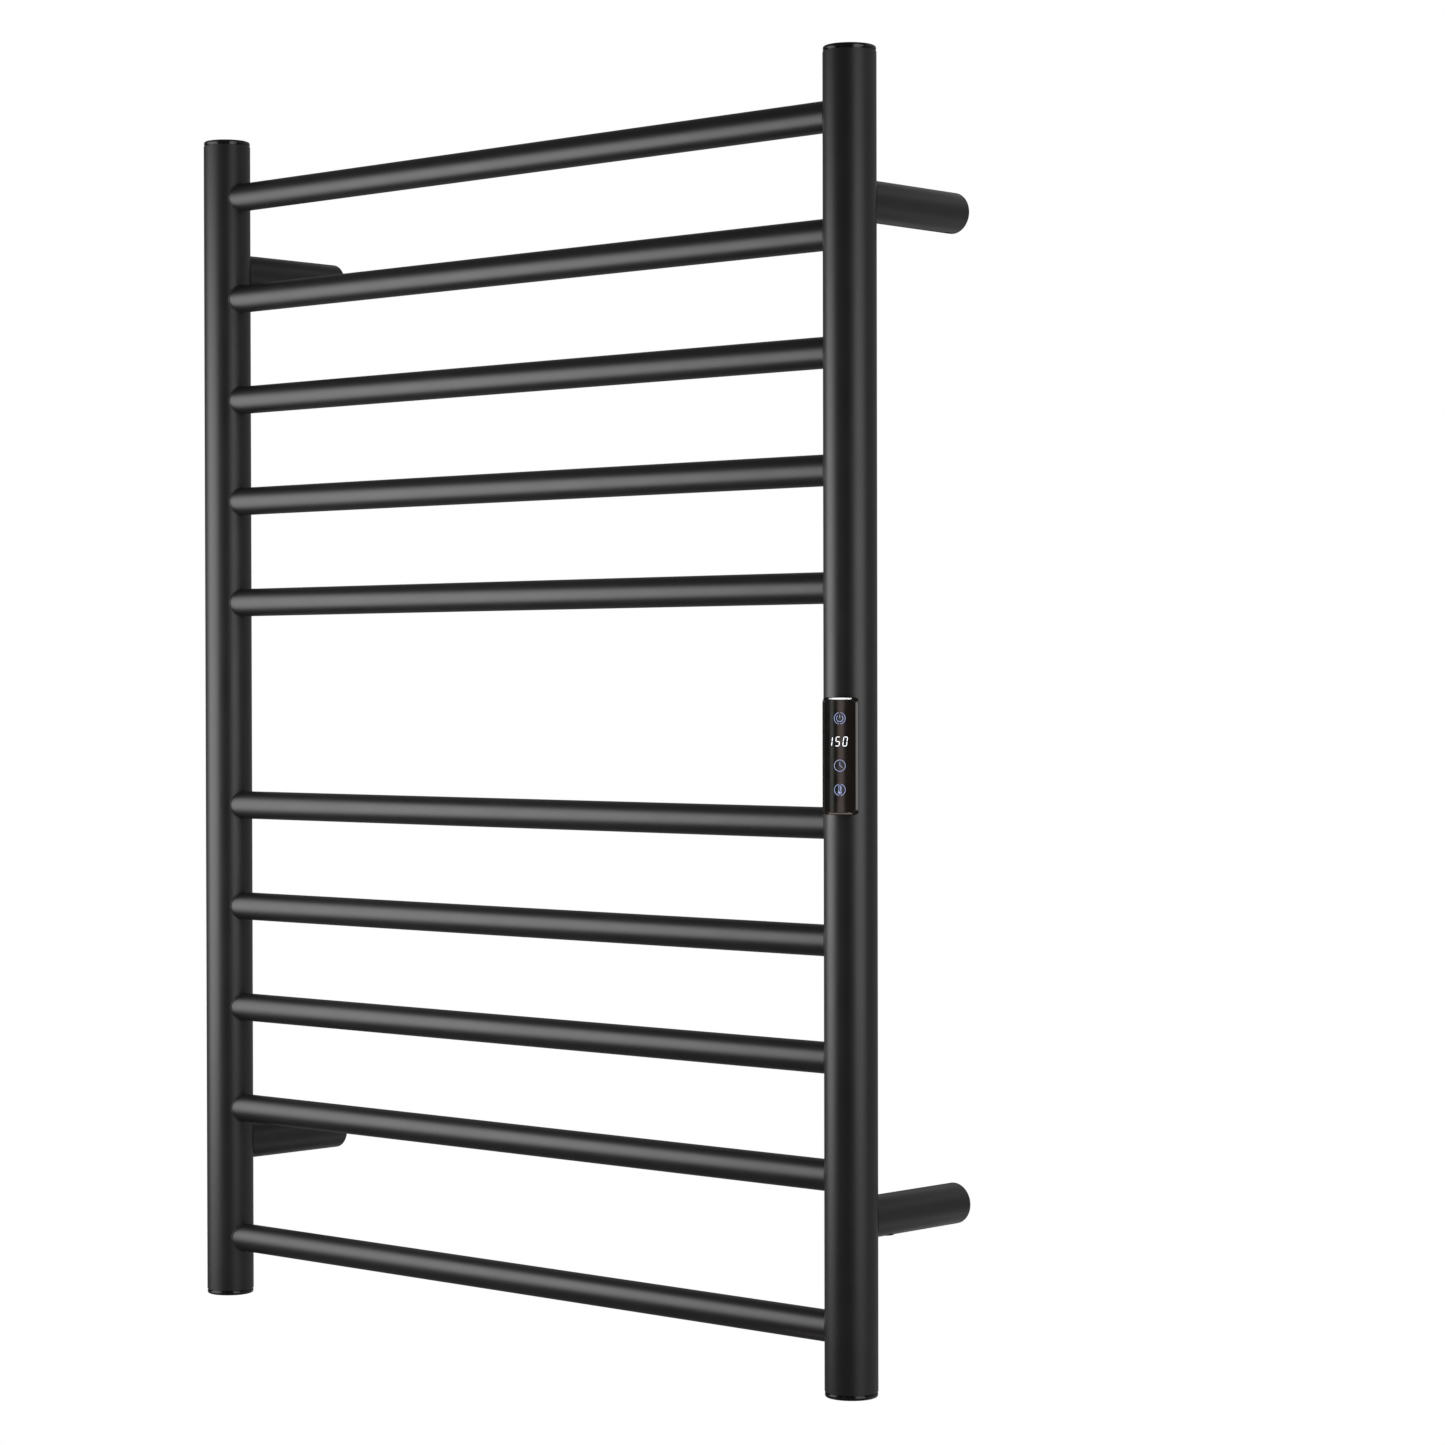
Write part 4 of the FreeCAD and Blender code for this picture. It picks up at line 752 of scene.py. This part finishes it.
def make_housing():
    """Bezel whose sides lean in from the lens to the post, with softened edges."""
    glue, step, tuck, ease = 0.2 * MM, 0.3 * MM, 3.4 * MM, 0.25 * MM
    front = FACE_REACH - LENS_DEPTH - glue
    back = POST_RADIUS * 0.6
    height = FACE_HEIGHT - step
    width = FACE_WIDTH - step - 0.1 * tuck
    levels = [
        (FACE_WIDTH - step - 2 * tuck, height, FACE_CORNER, back),
        (width, height, FACE_CORNER, front - ease),
        (width - ease, height - ease, FACE_CORNER - ease / 2, front - ease * 0.3),
        (width - 2 * ease, height - 2 * ease, FACE_CORNER - ease, front),
    ]
    finish_piece("grained_control_housing", loft(levels), HOUSING, ["control_housing"])


def make_lens():
    """Touch lens: a bevel with eased edges round a face that is crowned across its width."""
    back = FACE_REACH - LENS_DEPTH
    ease, smallest = 0.12 * MM, 0.1 * MM
    inner_corner = FACE_CORNER - LENS_BEVEL * 0.6
    levels = [
        (FACE_WIDTH, FACE_HEIGHT, FACE_CORNER, back),
        (FACE_WIDTH, FACE_HEIGHT, FACE_CORNER, FACE_REACH - LENS_BEVEL - ease),
    ]
    for part in (0.0, 0.2, 0.8, 1.0):
        narrower = ease + part * 2 * (LENS_BEVEL - ease)
        levels.append((FACE_WIDTH - narrower, FACE_HEIGHT - narrower, FACE_CORNER - LENS_BEVEL * 0.6 * part,
                       FACE_REACH - LENS_BEVEL + part * (LENS_BEVEL - ease)))
    for inset_mm in (0.0, 0.4, 1.2, 2.4, 4.0, 6.0, 8.0, 9.4):
        inset = inset_mm * MM
        narrower = 2 * (LENS_BEVEL + inset)
        levels.append((FACE_WIDTH - narrower, FACE_HEIGHT - narrower, max(inner_corner - inset, smallest),
                       FACE_REACH))
    finish_piece("glossy_touch_lens", loft(levels, front_crown=True), TOUCH_LENS, ["touch_lens"],
                 crease_degrees=25)


PRINT_RISE = 0.03 * MM


def arc(radius, start, stop, centre=(0, 0), steps=40):
    """Points along an arc, in degrees anticlockwise from the right."""
    return [Vector((centre[0] + radius * math.cos(math.radians(start + (stop - start) * i / steps)),
                    centre[1] + radius * math.sin(math.radians(start + (stop - start) * i / steps))))
            for i in range(steps + 1)]


def stroke(form, points, width, height, closed=False):
    """Ribbon of constant width along points on the touch face, lifted slightly off it."""
    count = len(points)
    low, high = [], []
    for i, spot in enumerate(points):
        before = points[i - 1] if closed or i > 0 else spot
        after = points[(i + 1) % count] if closed or i < count - 1 else spot
        side = (after - before).normalized().orthogonal() * width / 2
        for level, ring in ((0, low), (PRINT_RISE, high)):
            for edge in (spot - side, spot + side):
                ring.append(form.verts.new((edge.x, -(crowned(edge.x) + level), edge.y + height)))
    spans = range(count if closed else count - 1)
    for i in spans:
        a, b, c, d = 2 * i, 2 * i + 1, (2 * i + 2) % (2 * count), (2 * i + 3) % (2 * count)
        form.faces.new((high[a], high[b], high[d], high[c]))
        form.faces.new((low[c], low[d], low[b], low[a]))
        form.faces.new((low[a], high[a], high[c], low[c]))
        form.faces.new((high[b], low[b], low[d], high[d]))
    if not closed:
        form.faces.new((low[0], low[1], high[1], high[0]))
        form.faces.new((low[-1], low[-2], high[-2], high[-1]))


def scaled(points):
    """Points in millimetres as metres."""
    return [point * MM for point in points]


def symbol_piece(name, form, material):
    """Symbols on the face as one lit piece."""
    mesh = to_mesh(form)
    mesh.transform(CONTROL_PLACE)
    finish_piece(name, mesh, material, [])


def make_symbols():
    """Power, clock and temperature symbols in thin lines; each shape's points are in millimetres."""
    ring, inner_ring, line = 3.35, 2.0, 0.24 * MM
    half_ring, half_mouth = 81, 38
    ring_starts = (-half_ring, 180 - half_ring)
    power, height = bmesh.new(), 22.2 * MM
    for start in ring_starts:
        stroke(power, scaled(arc(ring, start, start + 2 * half_ring)), line, height)
    stroke(power, scaled(arc(inner_ring, 90 + half_mouth, 450 - half_mouth)), line, height)
    stroke(power, scaled([Vector((0, 0.1)), Vector((0, 1.1)), Vector((0, 2.0))]), line, height)
    symbol_piece("power_symbol", power, ICON_LIGHT)

    clock, height = bmesh.new(), -5.6 * MM
    stroke(clock, scaled(arc(ring, 0, 360)[:-1]), line, height, closed=True)
    stroke(clock, scaled([Vector((0, 2.15)), Vector((0, 0)), Vector((1.6, -1.08))]), line, height)
    symbol_piece("clock_symbol", clock, ICON_LIGHT)

    heat, height = bmesh.new(), -19.8 * MM
    for start in ring_starts:
        stroke(heat, scaled(arc(ring, start, start + 2 * half_ring)), line, height)
    bulb, bulb_radius, dot, dot_line = (-0.1, -1.5), 0.95, 0.28, 0.45 * MM
    stem, stem_radius = (-0.1, 1.95), 0.5
    outer = arc(bulb_radius, 57, -237, bulb) + arc(stem_radius, 180, 0, stem, 16)
    stroke(heat, scaled(outer), line, height, closed=True)
    stroke(heat, scaled(arc(dot, 0, 360, bulb, 20)[:-1]), dot_line, height, closed=True)
    for level in (-0.05, 0.6, 1.25, 1.9):
        stroke(heat, scaled([Vector((0.55, level)), Vector((1.1, level))]), line, height)
    symbol_piece("temperature_symbol", heat, ICON_LIGHT)


def lit_segment(form, first, last, width, height):
    """Bar of a digit with pointed ends, lifted slightly off the touch face."""
    point_share = 0.42
    along = (last - first).normalized()
    side = along.orthogonal() * width / 2
    taper = along * width * point_share
    corners = [first, first + taper + side, last - taper + side,
               last, last - taper - side, first + taper - side]
    rings = [[form.verts.new((spot.x, -(crowned(spot.x) + level), spot.y + height)) for spot in corners]
             for level in (0, PRINT_RISE)]
    form.faces.new(rings[0])
    form.faces.new(rings[1])
    for i in range(len(corners)):
        j = (i + 1) % len(corners)
        form.faces.new((rings[0][i], rings[0][j], rings[1][j], rings[1][i]))


def make_digits():
    """Three slanted seven-segment digits; sizes are in millimetres."""
    wide, tall, bar, slant, pitch, shift, gap = 2.3, 5.3, 0.45, 0.13, 4.6, -1.3, 0.14
    height = 8.6 * MM
    ends = {
        "top": ((0, 2), (1, 2)), "middle": ((0, 1), (1, 1)), "bottom": ((0, 0), (1, 0)),
        "upper_left": ((0, 1), (0, 2)), "upper_right": ((1, 1), (1, 2)),
        "lower_left": ((0, 0), (0, 1)), "lower_right": ((1, 0), (1, 1)),
    }
    shown = [
        ("upper_right", "lower_right"),
        ("top", "upper_left", "middle", "lower_right", "bottom"),
        ("top", "upper_left", "upper_right", "lower_left", "lower_right", "bottom"),
    ]
    digits = bmesh.new()
    for place, segments in enumerate(shown):
        left = (place - 1) * pitch + shift - wide / 2
        for segment in segments:
            spots_mm = [Vector((left + x * wide, (z - 1) * tall / 2)) for x, z in ends[segment]]
            first, last = (Vector((spot.x + slant * spot.y, spot.y)) * MM for spot in spots_mm)
            trim = (last - first).normalized() * gap * MM
            lit_segment(digits, first + trim, last - trim, bar * MM, height)
    symbol_piece("display_digits", digits, DIGIT_LIGHT)


# ---------------------------------------------------------------- studio

def direction(azimuth, elevation):
    """Unit vector from the object, with azimuth 0 to the front and 90 to the right, in degrees."""
    a, e = math.radians(azimuth), math.radians(elevation)
    return Vector((math.sin(a) * math.cos(e), -math.cos(a) * math.cos(e), math.sin(e)))


def softbox(name, azimuth, elevation, distance, wide, high, radiance, aim, across=None, tint="#ffffff"):
    """Rectangular light facing a point, brightest in its middle and fading to its edges."""
    full_until, dark_from = 0.14, 0.5
    light = bpy.data.lights.new(name, "AREA")
    light.shape = "RECTANGLE"
    light.size, light.size_y = wide, high
    light.energy = radiance * math.pi * wide * high
    light.color = linear(tint)[:3]
    light.use_nodes = True
    tree = light.node_tree
    tree.nodes.clear()
    spot = add(tree, "ShaderNodeSeparateXYZ", {0: add(tree, "ShaderNodeNewGeometry").outputs["Parametric"]})
    strength = 1.0
    for way in ("X", "Y"):
        off = add(tree, "ShaderNodeMath", {0: spot.outputs[way], 1: 0.5}, operation="SUBTRACT")
        far = add(tree, "ShaderNodeMath", {0: off.outputs[0]}, operation="ABSOLUTE")
        fade = smooth_step(tree, far.outputs[0], full_until, dark_from, 1.0, 0.0)
        strength = add(tree, "ShaderNodeMath", {0: strength, 1: fade}, operation="MULTIPLY").outputs[0]
    glow = add(tree, "ShaderNodeEmission", {"Strength": strength})
    add(tree, "ShaderNodeOutputLight", {"Surface": glow.outputs[0]})
    back = direction(azimuth, elevation)
    side = Vector(across) if across else Vector((0, 0, 1)).cross(back).normalized()
    lamp = bpy.data.objects.new(name, light)
    lamp.location = Vector(aim) + back * distance
    lamp.rotation_euler = Matrix((side, back.cross(side), back)).transposed().to_euler()
    lamp.visible_camera = False
    bpy.context.scene.collection.objects.link(lamp)


def make_surround():
    """White to look at; for the light it casts, a dim room with paler walls behind the object."""
    world = bpy.data.worlds.new("white_surround")
    world.use_nodes = True
    tree = world.node_tree
    tree.nodes.clear()
    way = add(tree, "ShaderNodeSeparateXYZ", {0: add(tree, "ShaderNodeTexCoord").outputs["Generated"]})
    steep = add(tree, "ShaderNodeMath", {0: way.outputs["Z"]}, operation="ABSOLUTE").outputs[0]
    room = 0.1
    lifted = smooth_step(tree, steep, 0.25, 0.5, 0.2, 0.5)
    wall = add(tree, "ShaderNodeMath", {0: lifted, 1: smooth_step(tree, steep, 0.54, 0.68, 1.0, 0.0)},
               operation="MULTIPLY")
    behind = add(tree, "ShaderNodeMath", {0: smooth_step(tree, way.outputs["Y"], 0.05, 0.7),
                                          1: smooth_step(tree, way.outputs["X"], -0.64, -0.45, 0.35, 1.0)},
                 operation="MULTIPLY").outputs[0]
    level = add(tree, "ShaderNodeMath", {0: wall.outputs[0], 1: behind, 2: room}, operation="MULTIPLY_ADD")
    cast = add(tree, "ShaderNodeBackground", {"Strength": level.outputs[0]})
    cast.inputs["Color"].default_value = linear("#ffffff")
    seen = add(tree, "ShaderNodeBackground", {"Strength": 1.0})
    seen.inputs["Color"].default_value = linear("#ffffff")
    ray = add(tree, "ShaderNodeLightPath")
    both = add(tree, "ShaderNodeMixShader",
               {0: ray.outputs["Is Camera Ray"], 1: cast.outputs[0], 2: seen.outputs[0]})
    add(tree, "ShaderNodeOutputWorld", {"Surface": both.outputs[0]})
    bpy.context.scene.world = world
    bpy.context.scene.view_settings.view_transform = "Standard"


def make_studio():
    """Pale floor, and tall softboxes that lay long soft bands along the tubes."""
    make_surround()
    cool, warm = "#e4f0ea", "#ffe8dc"
    softbox("key_left", azimuth=-44, elevation=0, distance=0.9, wide=1.35, high=1.45, radiance=4.35,
            aim=(0, -0.1, 0.01))
    softbox("fill_right", azimuth=77, elevation=0, distance=2.6, wide=2.1, high=2.7, radiance=3.1,
            aim=(0, -0.1, 0.12))
    # Lights that show in the touch lens: two upright strips on its face, and one light for each bevel.
    face = CONTROL_PLACE @ Vector((0, -FACE_REACH, 0))
    softbox("lens_strip_cool", azimuth=2.9, elevation=0, distance=2.4, wide=0.06, high=1.8, radiance=1.5,
            aim=face, tint=cool)
    softbox("lens_strip_warm", azimuth=5.7, elevation=0, distance=2.4, wide=0.13, high=1.8, radiance=1.6,
            aim=face, tint=warm)
    top, foot = (CONTROL_PLACE @ Vector((0, -FACE_REACH, way * FACE_HEIGHT / 2)) for way in (1, -1))
    along_top = (math.cos(FACE_TURN), math.sin(FACE_TURN), 0)
    softbox("bevel_glint", azimuth=-67, elevation=72.4, distance=1.6, wide=0.03, high=0.16, radiance=34.0,
            aim=top, across=along_top)
    softbox("bevel_bounce", azimuth=-67, elevation=-72.4, distance=0.5, wide=0.05, high=0.06, radiance=4.0,
            aim=foot, across=along_top, tint=warm)
    softbox("edge_strip", azimuth=98, elevation=0, distance=2.4, wide=0.7, high=2.2, radiance=2.6, aim=face)
    drop, reach = 0.5, 1.6
    bpy.ops.mesh.primitive_circle_add(vertices=96, radius=reach, fill_type="NGON",
                                      location=(0, 0, cad_low[2] - drop))
    floor = bpy.context.object
    floor.name = "studio_floor"
    floor.visible_glossy = False
    floor.data.materials.append(FLOOR)


def make_camera():
    """Long lens from the front right at mid height, turned so that both posts stand upright."""
    camera = bpy.data.objects.new("camera", bpy.data.cameras.new("camera"))
    camera.data.lens = 92.4
    camera.data.sensor_width = 36
    camera.data.clip_start, camera.data.clip_end = 0.05, 200
    to_right, in_front, above_foot = 1.7101, 1.6719, 0.4224
    azimuth, elevation, roll_degrees = 42.44, 0.58, -0.11
    camera.location = (to_right, SIDES["right"].y - in_front, cad_low[2] + above_foot)
    back = direction(azimuth, elevation)
    upright = back.to_track_quat("Z", "Y").to_matrix()
    roll = Matrix.Rotation(math.radians(roll_degrees), 3, back)
    camera.rotation_euler = (roll @ upright).to_euler()
    bpy.context.scene.collection.objects.link(camera)
    bpy.context.scene.camera = camera


make_camera()
make_posts()
make_bars()
make_welds()
make_caps()
make_sleeves()
make_wall_bases()
make_grub_screws()
make_bushing()
make_housing()
make_lens()
make_symbols()
make_digits()
make_studio()
